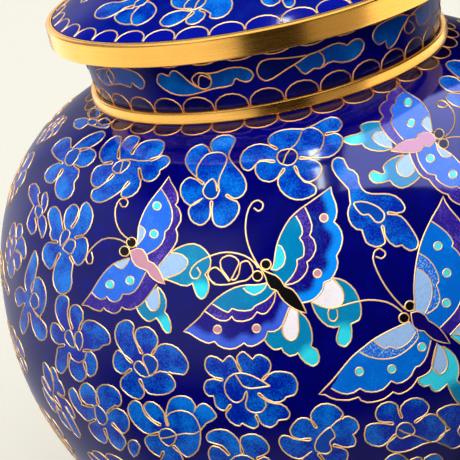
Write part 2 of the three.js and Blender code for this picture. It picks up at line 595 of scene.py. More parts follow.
SEEN_BLOSSOMS = (
    {"heart": (121, 167), "edge": (
        ((113, 162.5), (104, 163), (100, 158), (100, 152), (104, 145), (111, 138.5), (117, 136),
         (121.5, 138), (121, 144), (119, 150)),
        ((118.5, 159), (120, 148), (123, 142), (128, 137), (134, 135.5), (139.5, 138), (138, 143),
         (134, 148)),
        ((131.5, 154.5), (138, 146), (143, 142), (151, 140), (160, 140), (164.5, 144), (163, 151),
         (158, 157)),
        ((150, 160.5), (158, 157.5), (163, 155.5), (168, 157), (170, 161), (167, 166)),
        ((159.7, 170.5), (159, 175), (154, 180), (148, 181.5), (143, 179), (141.3, 173)),
        ((139.5, 168), (138.5, 174), (141, 180), (139.5, 188), (135, 194), (128, 197.5), (122.5, 197),
         (121, 194), (123, 189)),
        ((129.5, 181.5), (124, 188), (117, 194), (109, 199), (101, 202.5), (94, 201), (91, 196), (93, 190),
         (98, 188), (106, 182)),
        ((114, 174), (107, 181), (100, 186.5), (94, 186.5), (91, 181), (92, 174), (96, 167.5),
         (103, 164.5)),
    ), "loops": (
        ((112.5, 168), (117, 162.5), (123, 160.5), (129, 161), (130, 164), (127, 168.5), (121, 173),
         (115, 172.5)),
    ), "lines": (
        ((123, 161), (122.5, 165), (120, 172.5)),
        ((119, 160), (130, 159.3), (140, 161), (150, 160.5)),
    )},
    {"heart": (71, 158), "edge": (
        ((63, 163), (56, 158), (52, 150), (58, 142), (65, 138), (71, 139), (71, 147)),
        ((73, 148), (83, 139), (95, 133), (103, 131.5), (105, 136), (98, 143), (89, 148)),
        ((80, 150), (90, 148.5), (96, 153), (94, 160), (87, 166), (80, 167)),
        ((74, 165), (79, 170), (78, 177), (74, 183), (74, 190), (70, 197), (63, 200), (57, 196), (55, 188),
         (57, 180)),
        ((63, 169), (58, 177), (52, 183), (46, 181), (45, 174), (50, 167), (57, 163.5)),
    ), "loops": (
        ((67, 165), (65, 160), (68, 153), (74, 149), (79, 149), (80, 153), (77, 159), (72, 165)),
    )},
    {"heart": (67, 241), "edge": (
        ((58, 242), (53, 241), (50, 235), (51, 229), (49, 222), (48, 214), (51, 208), (56, 207), (60, 212),
         (62, 221)),
        ((64.5, 230), (64, 220), (66, 211), (71, 205.5), (76, 205), (79, 210), (77, 217), (74, 223)),
        ((71.5, 228), (78, 220), (80, 211), (83, 204.5), (87, 202.5), (91, 207), (93, 215), (91, 225),
         (87, 232), (81, 236)),
        ((75, 238), (82, 236.8), (87, 240), (88, 248), (86, 257), (81, 264), (77, 265), (73, 261)),
        ((70, 256), (73, 264), (71.5, 274), (72, 283), (69, 291), (62, 294), (56, 290), (53, 280),
         (54, 270), (57, 260)),
        ((60, 253), (56, 261), (52, 268), (48, 268), (43, 260), (43, 250), (47, 243.5), (53, 242)),
    ), "loops": (
        ((61, 246), (60, 239), (63, 231.5), (67, 229.5), (70, 233), (68, 239)),
        ((63, 249), (66, 243), (70, 239.5), (75, 241.5), (75, 248), (70, 254)),
    )},
    {"heart": (212, 189), "edge": (
        ((204, 184), (196, 177), (190, 171), (186, 164), (186, 157), (190, 150), (197, 145.5), (203, 144.5),
         (208, 147.5)),
        ((212.5, 153), (210.5, 147), (212, 141), (217, 137), (224, 135), (231, 135.5), (235.5, 139),
         (234, 144), (230.5, 150), (229, 156), (231, 161), (236, 167), (242, 174), (246, 182), (246, 190),
         (242, 196), (236, 198.5), (231, 197.5)),
        ((226, 195), (231, 198.5), (237, 201.5), (239.5, 208), (237, 216), (231, 223), (224, 227),
         (217, 226), (213, 221), (212, 212)),
        ((211.5, 201), (210.5, 212), (209, 219), (203, 224.5), (197, 224.5), (191, 220), (188.5, 213),
         (190, 207), (196, 202)),
        ((203.5, 198), (197, 203), (191, 205.5), (185, 202), (181, 195), (180.5, 187), (184, 181),
         (190, 177.5), (196, 179.5)),
    ), "loops": (
        ((203, 190), (206, 184), (212, 179), (215.5, 181.5), (218, 187), (219.5, 191), (216, 197.5),
         (209.5, 199), (204.5, 195.5)),
    ), "lines": (
        ((197, 177), (196.5, 170), (200, 162), (206, 155), (213, 152.5), (221, 152.5), (226, 155.5),
         (227, 160), (225, 166), (221, 174), (218.5, 182), (219, 189)),
        ((215.5, 181.5), (216.5, 187), (217, 191.5)),
    )},
    {"heart": (287, 158), "deep": True, "edge": (
        ((277.5, 149), (271, 145), (268, 140.5), (271, 135), (279, 131), (290, 129), (298, 129)),
        ((303, 129), (309, 127.5), (316, 124), (324, 119.5), (332, 117), (339, 119), (342, 125), (338, 131),
         (331, 133)),
        ((325, 134.5), (333, 133), (339, 134.5), (343, 139), (341, 147), (335, 154), (327, 157.5),
         (314, 157.5)),
        ((299, 158), (311, 159), (318, 162), (322, 168), (320, 175), (315, 180), (308, 182), (302, 179),
         (298, 173)),
        ((294.5, 166), (299, 175), (304, 181.5), (311, 183.5), (316, 188), (315, 194), (308, 198),
         (299, 200), (290, 198), (282, 192), (278, 184), (279, 177)),
        ((284.5, 168.5), (280, 175), (275, 180), (268, 182), (260, 179), (255.5, 172), (256, 165),
         (260, 161.5), (267, 161)),
        ((275, 161.5), (262, 160.3), (257, 163), (252, 169), (247, 170.5), (242, 167), (240, 160),
         (243, 152), (250, 146.5), (259, 144), (267, 145)),
    ), "loops": (
        ((277, 157.5), (279, 152), (285, 149.5), (292, 149), (297, 153), (297, 159), (293, 164),
         (287, 165.5), (280, 163)),
    ), "lines": (
        ((290, 149.5), (286, 155), (283, 163.5)),
        ((290, 149), (296, 144), (299.5, 138), (302, 130.5)),
        ((302, 130.5), (308, 127.5), (316, 128.5), (323, 134), (324, 141), (320, 150), (312, 157)),
    )},
    {"heart": (372, 212), "edge": (
        ((350.5, 204), (349.5, 196), (348.5, 189), (343, 183), (336, 175), (332, 167), (333, 160.5),
         (338, 157.5), (344, 159.5), (346.5, 165), (349, 169), (354, 171), (358, 176), (359, 183),
         (363, 190), (369, 193.5), (378, 194), (388, 194), (397, 197), (403, 203), (405, 208.5),
         (402, 212.5), (395, 213.3)),
        ((387.5, 213), (395, 214.3), (402, 217), (409, 225), (416, 236), (418.5, 243), (416, 249),
         (410, 250.5), (405, 248)),
        ((402, 245), (396, 246.5), (390, 243), (385.5, 236)),
        ((382.3, 225.5), (384.5, 237), (385, 243), (380, 246.5), (373, 246.5), (366, 242), (363.5, 235)),
        ((362, 230), (356, 229), (351, 224), (348, 216), (348.5, 209)),
    ), "loops": (
        ((354, 203.5), (361, 201.5), (369, 203), (378, 207), (384, 213), (384, 219), (380, 222.5),
         (375, 221.5), (371, 216.5), (368, 214.3), (363, 215), (358, 211)),
    )},
    {"heart": (75, 341), "edge": (
        ((64, 331), (60, 324), (56, 314), (55.5, 304), (58, 297), (63, 295), (68, 298), (69, 304),
         (67.5, 311), (68.5, 320)),
        ((72.3, 329.5), (70, 318), (70, 309), (74, 305), (79, 306), (83, 312), (83, 319), (81, 325)),
        ((79.5, 330), (82, 324.5), (87, 320.5), (94, 321), (102, 326), (108, 332), (110.5, 339),
         (109, 344)),
        ((103, 345.5), (99, 349.5), (92, 350.7)),
        ((83, 350.5), (91, 351.7), (96, 358), (97.5, 366), (95, 374), (90, 376.5), (87, 373)),
        ((84, 361.5), (86, 370), (86, 377), (81, 381.5), (76, 380), (71, 374), (69, 366)),
        ((69.5, 353), (68.3, 361), (67, 368), (62, 373.5), (57, 370), (55.5, 362), (57, 354), (58, 348)),
        ((65, 345), (57.5, 344), (52, 338), (50.5, 329), (53, 323), (58, 324.5)),
    ), "loops": (
        ((65, 338), (66, 332), (70, 330.5), (73, 336), (75, 347), (69.5, 345.5)),
        ((75, 342), (75, 335), (78, 331.5), (81.5, 333.5), (83, 340), (82, 346.5), (79, 350.5)),
    ), "lines": (
        ((70, 353), (72, 359), (79, 362.5), (85, 359), (86.5, 352.5)),
    )},
    {"heart": (145, 366), "edge": (
        ((132.5, 363), (126, 357), (120, 349), (116, 341), (115, 332), (118, 324), (124, 320.5), (130, 321),
         (134, 326), (133, 333), (136, 343)),
        ((142.3, 354), (138, 345), (135, 336), (137, 329.5), (143, 327), (150, 328), (156, 334), (158, 341),
         (155.5, 348)),
        ((151.7, 355), (156, 348.5), (161, 344.5), (168, 344), (176, 347), (183, 354), (188, 362),
         (188, 369), (184, 374.5), (178, 374)),
        ((168, 372.7), (172, 377), (175.5, 383.5), (174, 389), (168, 393.5), (158, 395), (149, 393.5),
         (144, 388)),
        ((139.5, 379), (143, 387), (144.5, 393), (141, 398.5), (135, 398.5), (127, 394), (121, 387),
         (121, 380), (125, 375)),
        ((131.7, 369), (126, 372.5), (121, 373.5), (115, 369), (113, 361), (115, 353), (119, 350.5),
         (125, 355.5)),
    ), "loops": (
        ((134, 367), (136, 362), (140, 361.5), (144, 365), (147, 370), (149, 376), (144, 377),
         (138, 373.5)),
        ((143, 360), (144, 355.5), (149, 354.5), (155, 358), (158, 364), (156, 371), (150, 376),
         (147, 369)),
    ), "lines": (
        ((149.5, 376.5), (155, 373), (161, 371.3), (168, 372.7)),
    )},
    {"heart": (102, 414), "edge": (
        ((96, 419.5), (88, 421), (82, 416), (75, 408), (70, 398), (69, 391), (73, 388), (77, 393),
         (80, 400), (86, 405.5)),
        ((93.5, 406.5), (86, 404), (81, 398), (79.5, 390), (83, 384), (88, 383.5), (94, 389), (97, 396)),
        ((98.5, 404), (96.5, 395), (98, 388), (104, 384.5), (112, 386), (119, 392), (121.5, 399),
         (120, 405), (113, 408)),
        ((107.3, 413), (113, 408.7), (120, 409), (127, 415), (129.5, 423), (128, 430), (123, 433.5),
         (118, 429)),
        ((111.7, 423), (119, 431), (124, 437), (126, 444), (122, 450), (117, 449), (111, 443), (108, 437)),
        ((104.3, 428), (107, 437), (107, 442), (103, 443), (96, 438), (90, 430), (89.5, 424)),
    ), "loops": (
        ((95, 407), (98.5, 405.5), (103, 410), (107, 416), (107, 422), (103, 425), (98, 421.5),
         (95.3, 414)),
    )},
    {"heart": (168, 437), "edge": (
        ((159.5, 433), (150, 434.5), (142, 431), (133, 422), (128, 411), (129.5, 404), (135, 400.5),
         (141, 404), (143.5, 411), (149, 419)),
        ((161, 425.5), (152, 419), (146, 412), (144, 406), (148, 402), (154, 402.5), (160, 407),
         (165, 415)),
        ((168.3, 426), (165.5, 417), (167, 408), (170, 400), (176, 396.5), (184, 396), (191, 399),
         (195, 405), (195, 410)),
        ((193, 413.5), (196, 408), (201, 404), (207, 404.5), (213, 410), (216.5, 416), (213, 420),
         (206, 423.5)),
        ((200.3, 431), (200.5, 440), (198.5, 449), (193, 455), (187, 457), (181, 453)),
        ((173, 445.5), (178, 450.5), (182, 456), (184, 466), (178, 474), (169, 476), (160, 470),
         (156.5, 462), (161, 457.5)),
        ((163.5, 451), (161, 456.7), (156, 455), (149, 449), (145, 441), (148, 436)),
    ), "loops": (
        ((159, 435), (161, 430), (167, 428.5), (173, 431), (176.5, 436), (174, 443), (169, 446),
         (163, 442.5)),
    ), "lines": (
        ((161, 438.5), (168, 437.5), (175.5, 435.5), (184, 433.5), (194, 434), (200, 431)),
        ((168.3, 426), (166.5, 417.5), (171, 412.5), (180, 410.5), (190, 413), (197, 420), (200.5, 430)),
    )},
    {"heart": (250, 388), "edge": (
        ((223, 380), (216, 378), (209, 374), (205, 367), (206, 359), (211, 356), (218, 358)),
        ((223, 361.7), (226, 358), (230, 356), (234, 359), (237.5, 365)),
        ((241, 371.3), (238, 364), (237, 357), (240, 353), (244, 352), (249, 356)),
        ((252.7, 359.3), (256, 355.5), (261, 355), (268, 359), (271, 365), (269, 372)),
        ((262.5, 380), (269, 374.3), (276, 371.5), (284, 372), (292, 374), (297, 381), (297.5, 389),
         (294, 395)),
        ((286.5, 397), (284, 400), (279, 402.3), (271, 401.5)),
        ((258, 393.3), (266, 400.5), (273, 403.3), (281, 404.3), (287, 408), (290, 414), (287, 419)),
        ((278.5, 420.3), (276, 424.5), (270, 427.5), (263, 425), (259, 420)),
        ((256, 415), (258, 421), (258, 426), (253, 428.5), (247, 426)),
        ((242, 423.2), (239, 426), (233, 424), (228, 419), (226, 413)),
        ((231, 404.7), (226, 410), (221, 410), (216, 406), (214.7, 400)),
        ((213.5, 396), (209, 396), (205, 392), (204, 386), (207, 380.5), (214, 379)),
    ), "lines": (
        ((270, 386), (262, 381), (250, 375), (238, 373), (229, 377), (224.5, 385), (226, 394), (232, 401),
         (238, 402.5), (243, 399), (245, 393), (247, 391)),
        ((247, 391), (247.5, 397), (245.5, 404), (248, 410), (255, 413), (262, 411.5), (266, 406),
         (265.5, 401)),
        ((235, 374), (239, 380), (243, 386), (250, 388.5), (260, 387.5), (270, 386)),
    )},
    {"heart": (324, 441), "edge": (
        ((311.5, 439.3), (300, 439.5), (293, 436.5), (290, 430), (293, 424), (299, 418.7), (306, 418),
         (312, 421.5)),
        ((317, 428), (312, 421), (311, 414), (315, 408), (322, 404), (330, 404), (338, 407.5), (343, 413)),
        ((341.5, 418.5), (346, 416.5), (351, 417), (357, 421), (359, 428), (356, 432.5)),
        ((353, 434.5), (356, 440), (354, 446), (347, 447.5), (340, 446.3)),
        ((333, 445), (341, 447.7), (347, 451), (348, 457), (344, 464), (336, 468), (329, 464), (323, 458)),
        ((318, 453.5), (322, 460), (323, 467), (316, 471), (307, 470), (301, 463), (304, 457)),
        ((312, 451), (306, 456), (299, 459), (290, 456), (282, 449), (279, 441), (282, 436), (288, 436),
         (296, 439.5)),
    ), "loops": (
        ((330.5, 427.5), (334, 432), (335, 437), (331, 440.5), (330, 443.5), (331.5, 447), (331, 451),
         (326, 454), (320, 453), (315.5, 449.5), (315, 443.5), (318.5, 437), (325, 430.5)),
    ), "lines": (
        ((341.5, 418.5), (335, 422.5), (330.5, 427.5)),
    )},
    {"heart": (405, 431), "edge": (
        ((396, 434.5), (389, 441), (382, 446), (374, 446), (366, 441), (364.5, 433), (367, 426),
         (374, 423.3), (383, 423.5)),
        ((394, 423.5), (384, 422.3), (378, 420), (375.5, 414), (378, 407), (384, 403), (391, 402),
         (397, 405), (399, 411)),
        ((402, 418), (400, 411), (402, 405), (408, 400), (416, 398), (424, 400), (429, 406), (427, 413),
         (421, 418)),
        ((414.7, 422.5), (422, 417.8), (430, 414), (438, 416), (445, 422), (446, 429), (443, 436),
         (437, 441)),
        ((431, 442), (423, 444), (413, 449), (403, 452), (394, 452), (388, 449), (387.5, 444)),
    ), "loops": (
        ((396, 432), (398, 426), (404, 422.5), (411, 424), (415, 430), (413, 434.5), (408, 436),
         (402, 438.5), (397.5, 436)),
    ), "lines": (
        ((399, 429.5), (406, 433), (413, 435), (422, 438), (431, 442)),
    )},
    {"heart": (242, 463), "edge": (
        ((229.5, 455.5), (226, 449), (221, 445), (214, 443.5), (208, 441), (206.5, 436), (210, 431.5),
         (217, 429.5), (226, 430), (234, 435), (240, 443)),
        ((243, 454), (240.5, 445), (241, 438), (247, 434.5), (256, 434.5), (264, 439), (269, 446),
         (268, 452), (262, 456)),
        ((256.5, 459), (265, 457), (272, 462), (274, 472), (266, 480), (257, 478)),
        ((252, 472), (256, 482), (250, 492), (240, 494), (232, 486), (234, 478)),
        ((236, 471), (226, 473), (215, 467), (209, 457), (209, 450), (213, 446), (220, 448)),
    ), "loops": (
        ((229.5, 462), (235, 456.5), (243, 455), (251, 457.5), (256, 463), (252, 471), (243, 474.5),
         (233, 471)),
    )},
    {"heart": (474, 88), "edge": (
        ((463, 92.3), (452, 92.3), (443, 87.5), (439, 82), (441, 77.5), (448, 76), (456, 78)),
        ((464, 83), (455, 75), (448, 68.5), (446, 64.5), (449, 61.5), (457, 60.5), (466, 64)),
        ((471, 77), (474, 67), (484, 63), (492, 69), (489, 79)),
        ((482, 86), (494, 84), (501, 92), (496, 101), (486, 100)),
        ((480, 96), (485, 106), (480, 115), (471, 113), (469, 104)),
        ((470, 98), (464, 107), (455, 106), (447.5, 100.5), (445.5, 96.5), (450, 93.5)),
    ), "loops": (
        ((466, 90), (470, 84), (477, 83), (482, 88), (479, 95), (471, 96)),
    )},
    {"heart": (470, 428), "edge": (
        ((450, 429), (443, 422), (437, 412.5), (445, 406.5), (456, 404.5), (467, 407)),
        ((470, 419), (473, 408), (483, 404), (493, 410), (493, 421)),
        ((482, 427), (494, 425), (502, 433), (498, 444), (486, 446)),
        ((478, 438), (486, 448), (484, 460), (472, 464), (464, 456)),
        ((466, 440), (460, 446), (452, 448.5), (444, 444.5), (437, 441.3), (442, 434.5)),
    ), "loops": (
        ((458, 430), (464, 422), (473, 420), (480, 426), (479, 434), (471, 439), (462, 437)),
    )},
    {"heart": (416, 474), "edge": (
        ((406, 468), (396, 470), (386, 466), (385, 460), (391, 455), (398, 453.5), (405, 457)),
        ((410, 463.5), (411, 459.5), (417, 457.3), (422, 458.5)),
        ((422, 464), (425, 458), (432, 454.3), (439, 455), (443, 461), (438, 468)),
        ((427, 472), (440, 472), (446, 480), (440, 490), (428, 488)),
        ((418, 481), (422, 492), (414, 500), (404, 494), (406, 484)),
        ((408, 477), (398, 484), (388, 480), (390, 473)),
    ), "loops": (
        ((408, 472), (412, 466), (419, 465), (424, 470), (421, 477), (413, 478)),
    )},
    {"heart": (134, 449), "edge": (
        ((134, 457), (129, 450), (128.5, 443), (132, 440), (137, 441.5), (140, 447), (138, 454)),
    )},
    {"heart": (30, 300), "edge": (
        ((32, 294), (31, 286), (35, 279), (39, 277.5), (43, 282), (46, 292), (46, 302), (43, 312),
         (38, 317)),
        ((33, 309), (40, 318), (46.5, 327), (46, 338), (40, 340), (34, 332)),
        ((29, 312), (28, 326), (23, 334), (20, 322)),
        ((25, 303), (18, 306), (15, 294), (20, 287)),
        ((26, 292), (25, 278), (29, 264), (35, 251), (38, 262), (36, 273)),
    ), "loops": (
        ((32, 295), (36, 293.5), (39, 300), (38, 307), (33, 308.5), (30, 302)),
    )},
    {"heart": (93, 122), "edge": (
        ((88, 124), (80, 129), (74, 126), (76, 120), (84, 118)),
        ((90, 119), (88, 113), (93, 108), (100, 111), (99, 117)),
        ((97, 121), (106, 118), (111, 123), (106, 128), (97, 127)),
    ), "loops": (
        ((88, 122), (92, 119), (97, 121), (95, 125), (90, 125)),
    )},
    {"heart": (38, 212), "edge": (
        ((34, 206), (29, 196), (30, 186), (36, 184), (40, 192), (39, 202)),
        ((41, 206), (43, 195), (47, 193), (48, 202), (45, 211)),
        ((42, 214), (46, 220), (46, 230), (42, 238), (39, 228)),
        ((36, 217), (36, 230), (31, 234), (27, 224), (30, 214)),
    ), "loops": (
        ((35, 212), (37, 206), (42, 208), (42, 214), (38, 218)),
    )},
)
# The blossoms that the photograph shows whole, which the hidden sides repeat
WHOLE_BLOSSOMS = (0, 3, 4, 5, 7, 9, 10, 11, 12)

DOME_BLOSSOMS = (
    {"heart": (140, 2), "edge": (
        ((134, 6.5), (124, 9), (114, 15), (104, 18.7), (97, 18), (94.7, 14.5), (98, 9), (106, 4),
         (114, 2.3), (122, 2)),
        ((132, -3), (124, -4), (119, -8), (123, -11.5), (131, -11), (137, -7)),
        ((140, -4), (144, -9.5), (153, -11.5), (159, -8), (155, -3.5)),
        ((147, 1), (153, 4), (156.3, 9), (155, 14), (150, 19.5), (143, 23.5), (137, 25.5)),
        ((132.2, 24.3), (126, 24.7), (120, 23.5), (115.5, 20), (115, 16), (120, 11.5), (129, 8)),
    ), "loops": (
        ((134, 5.5), (137, 1), (143, -2), (148, -1.5), (147, 2), (142, 5.5), (137, 7)),
    ), "lines": (
        ((132.2, 24.3), (131, 19), (133, 13), (139, 7.5)),
    )},
    {"heart": (196, 4), "edge": (
        ((194, 11.5), (188, 17), (179, 23), (170, 26.5), (163, 26), (160, 22.5), (162.5, 18), (169, 13.5),
         (178, 10.8), (186, 10.2)),
        ((192, 9.8), (184, 9.3), (176, 8), (171.5, 4), (172.5, -2), (178, -6), (186, -5)),
        ((190, -2), (187, -7), (191, -11), (199, -11.5), (204, -7)),
        ((204, -3), (212, -7), (222, -7), (230, -3), (232.5, 3), (231, 10), (225, 16), (217, 18.5),
         (211, 18), (208.5, 15), (206, 11.5)),
        ((199.5, 9.5), (204, 12), (205, 15.5), (202, 20), (196, 23.7), (190, 24.5), (186.3, 22.5),
         (187, 18.5)),
    ), "loops": (
        ((185, 9), (184.7, 5), (189, 0), (196, -3), (203, -2), (206, 1), (203, 5.5), (197, 9), (190, 9.8)),
    ), "lines": (
        ((194.5, 9), (196.5, 4), (200, -1)),
    )},
    {"heart": (282, -10), "edge": (
        ((287, -6), (293.5, -2), (295, 3), (291.5, 7), (286.5, 7), (283.3, 3)),
        ((281.5, -4), (279, 2.5), (272, 6), (265, 4.8), (261.3, 0.5), (263, -6)),
        ((275, -9), (265, -10.5), (261, -15), (267, -18), (275, -14.5)),
        ((280, -13.5), (280, -19), (289, -21), (295, -16.5)),
        ((288, -12), (299, -14.5), (308, -11), (304, -6), (295, -6)),
    ), "loops": (
        ((276, -10), (280, -15), (287, -14), (288, -8), (282, -5)),
    )},
)

NECK_CLOUDS = (
    {"heart": (205, 81), "enamel": "cloud", "edge": (
        ((157, 80), (158.5, 75), (163, 73.6)),
        ((169, 76.3), (170.5, 72.5), (174, 70.6), (179, 72.5), (187, 80), (194, 85.5)),
        ((199, 88), (205, 89.3), (210, 86.5), (211.6, 81), (209.5, 75.5)),
        ((204, 73), (213, 73.2), (220, 71), (229, 68), (240, 67.2), (249, 69.5), (253.3, 74.5), (251, 80),
         (245.5, 82), (240, 80.5), (236.5, 78.5)),
        ((234.5, 80), (233, 84), (229, 86.3), (219, 87.7), (209, 90), (198, 93.3), (186, 95.5), (174, 94.2),
         (164, 89), (158, 83.5)),
    ), "loops": (
        ((192, 79), (194.5, 75), (199, 72.8), (205, 73.2), (209.8, 76.5), (211.6, 81.5), (209.5, 87),
         (204, 89.3), (198.5, 87.5), (194, 83.5)),
    ), "lines": (
        ((198.8, 87), (198.5, 80), (200, 76), (203, 75.2), (207, 77), (211, 79.5)),
    )},
    {"heart": (278, 68), "enamel": "eye_deep", "edge": (
        ((257, 69), (259, 64), (263, 60.5), (270, 58.8), (280, 58.5), (292, 57.5), (302, 56)),
        ((309, 54.5), (302, 59.5)),
        ((294.5, 64.5), (287, 69), (279, 74.5), (271, 79.5), (265, 80.7), (260, 78), (257.5, 73.5)),
    )},
    {"heart": (328, 58), "enamel": "cloud", "edge": (
        ((309, 54.5), (318, 51.5), (326, 47.5), (333, 44.3), (339, 43), (344, 44)),
        ((347, 45.5), (351, 41.5), (356, 39), (361, 39.5), (364.3, 44), (363, 50), (359, 55.5), (353, 59.8),
         (345, 62.3), (338, 62.2), (333, 61.3), (328, 63), (323, 67), (319, 68.5), (314, 68.5), (310, 71.5),
         (306, 73.8), (302, 72.5), (299, 69)),
        ((294.5, 64.5), (302, 59.5)),
    ), "lines": (
        ((319.5, 51.5), (323.5, 56), (324.5, 62), (321.5, 67.5)),
    )},
    {"heart": (400, 25), "enamel": "cloud", "edge": (
        ((388, 20), (378, 25.5), (374, 31), (372.7, 37), (375, 42), (379, 44.5), (383, 43)),
        ((385.7, 41), (386.5, 46), (389, 48.5), (393, 46), (397, 40), (400, 33), (403.5, 26), (407, 20)),
        ((409.5, 15.5), (400, 15)),
    ), "lines": (
        ((409, 20.5), (413, 24), (414.5, 28), (412, 32), (408.5, 33.5), (405, 31), (404.5, 26), (407, 21)),
    )},
    {"heart": (428, 12), "enamel": "cloud", "edge": (
        ((410, 16), (415, 14.5), (416, 20), (418.5, 25), (423, 25.5), (429, 20), (437, 10), (442, 2),
         (440, -4)),
        ((428, 0), (418, 8)),
    )},
    {"heart": (120, 76), "enamel": "cloud", "edge": (
        ((108, 68), (118, 67), (128, 69.5), (136, 72.3), (141.5, 77), (144.5, 82), (144, 87), (141, 89),
         (137, 87)),
        ((132.5, 82.5), (131, 87), (127, 86.3), (121, 84), (113, 84.5), (107, 85), (100, 79), (97, 70)),
    ), "lines": (
        ((108.5, 69), (107, 74), (110, 80), (113, 84.5)),
        ((108.5, 69), (113, 74), (114.5, 80), (113, 84.5)),
    )},
)


# A butterfly's areas lie in layers: an edge gets a wire, and the rest closes the area under its neighbours.
# The second colour of an area lies within a span of the named pixels, or along its margin.

CORNFLOWER_BUTTERFLY = {
    "heart": (140, 258), "spot_enamel": "turquoise", "body_enamel": "rose",
    "areas": (
        {"enamel": "teal", "layer": 0, "near": ((201, 297),), "span": 17, "edge": (
            ((171, 252), (179, 247.5), (187, 244.5), (195, 244), (203, 248), (209, 255), (211, 262),
             (209.5, 269)),
            ((205, 274.5), (208.5, 281), (209, 289), (206, 296), (201.5, 299), (197, 296), (194.5, 290)),
            ((192.5, 283.5), (187, 286), (180, 285), (172, 281.5), (163, 279)),
        ), "rest": ((157, 268), (166, 258))},
        {"enamel": "pale_blue", "layer": 1, "edge": (
            ((171, 253), (180, 254), (186, 258), (188, 263), (185, 269), (178, 274), (170, 277),
             (163, 279)),
        ), "rest": ((157, 268), (166, 258))},
        {"enamel": "teal", "layer": 0, "near": ((168, 330),), "span": 16, "edge": (
            ((136, 306.5), (139, 313), (144, 319), (149, 321.5), (153, 320)),
            ((156.5, 318), (160, 323), (163, 329), (167, 333), (171, 331), (171, 324), (168, 316)),
            ((164.5, 312), (166.5, 305), (165.5, 298), (162, 291), (157.5, 287)),
        ), "rest": ((150, 292), (142, 300))},
        {"enamel": "pale_blue", "layer": 1, "edge": (
            ((145.5, 301), (148, 307), (152, 311), (157, 309.5), (160, 303), (159, 294), (157, 287.5)),
        ), "rest": ((150, 293),)},
        {"enamel": "violet", "layer": 2, "edge": (
            ((136, 247), (138, 238), (138, 231), (140, 222), (145, 210), (152, 199), (161, 188)),
            ((169, 176.5), (171.5, 183), (176, 190), (178, 197), (177.5, 202)),
            ((175.3, 205), (179, 209), (181, 215), (180.5, 222)),
            ((176, 229), (177.5, 234), (177, 241), (173, 248), (166, 257), (157, 268)),
        ), "rest": ((148, 262), (142, 254))},
        {"enamel": "cornflower", "layer": 3, "edge": (
            ((161.5, 189), (166, 196), (170, 204), (172.5, 213), (171.5, 223), (168.5, 229)),
            ((165, 232), (164.5, 238), (161, 245), (155, 250), (147, 254.5)),
        ), "rest": ((140, 252), (136, 247), (138, 238), (138, 231), (140, 222), (145, 210), (152, 199))},
        {"enamel": "pale_blue", "layer": 4, "edge": (
            ((139.5, 225.5), (143.5, 228), (145.5, 232.5), (143, 238.5), (137, 245.5)),
        ), "rest": ((138, 238), (138, 231))},
        {"enamel": "violet", "layer": 2, "edge": (
            ((130, 258), (120, 261), (112, 265), (104, 273), (97, 283), (91, 293)),
            ((82, 305), (88, 306), (95, 310), (101, 311)),
            ((104, 307.5), (107, 311), (114, 313.5), (119, 311.5)),
            ((122, 307), (126, 309.5), (132, 309.5), (139, 306), (147, 298), (157, 284)),
        ), "rest": ((150, 278), (140, 266))},
        {"enamel": "cornflower", "layer": 3, "edge": (
            ((91.5, 292), (96, 297), (101, 299.5), (105, 298.5)),
            ((107, 296.5), (110, 300.5), (115, 302), (120, 299.5)),
            ((123, 294), (130, 294), (136, 290), (141, 282), (146, 272)),
        ), "rest": ((138, 264), (130, 258), (120, 261), (112, 265), (104, 273), (97, 283))},
        {"enamel": "pale_blue", "layer": 4, "edge": (
            ((114, 264), (119, 268), (123, 268.5), (127, 264), (129.5, 259)),
        ), "rest": ((120, 261),)},
    ),
    "spots": ((157, 206), (154, 234), (110, 284.5), (130, 280.5)),
    "eyes": ((131.6, 242.5), (124.7, 251.3)),
    "body": (
        ((130.5, 251), (137, 248.5), (143, 250), (146.5, 255), (148.5, 261), (155, 264.5), (159.5, 271),
         (163, 279)),
        ((165, 284), (158, 282), (151, 277), (147, 271), (141, 268.5), (135, 265), (131.5, 258)),
    ),
    "feelers": (
        ((130, 240), (122, 234), (117, 225), (115, 215), (116, 206), (120, 199.5), (125, 198.5), (128, 202),
         (126, 206.5), (122, 206.5), (120, 203)),
        ((126, 243), (119, 239.5), (110, 238), (101, 240), (94, 246), (88, 253), (86, 259), (88, 263.5),
         (92, 263), (93, 258), (91.5, 252)),
    ),
}

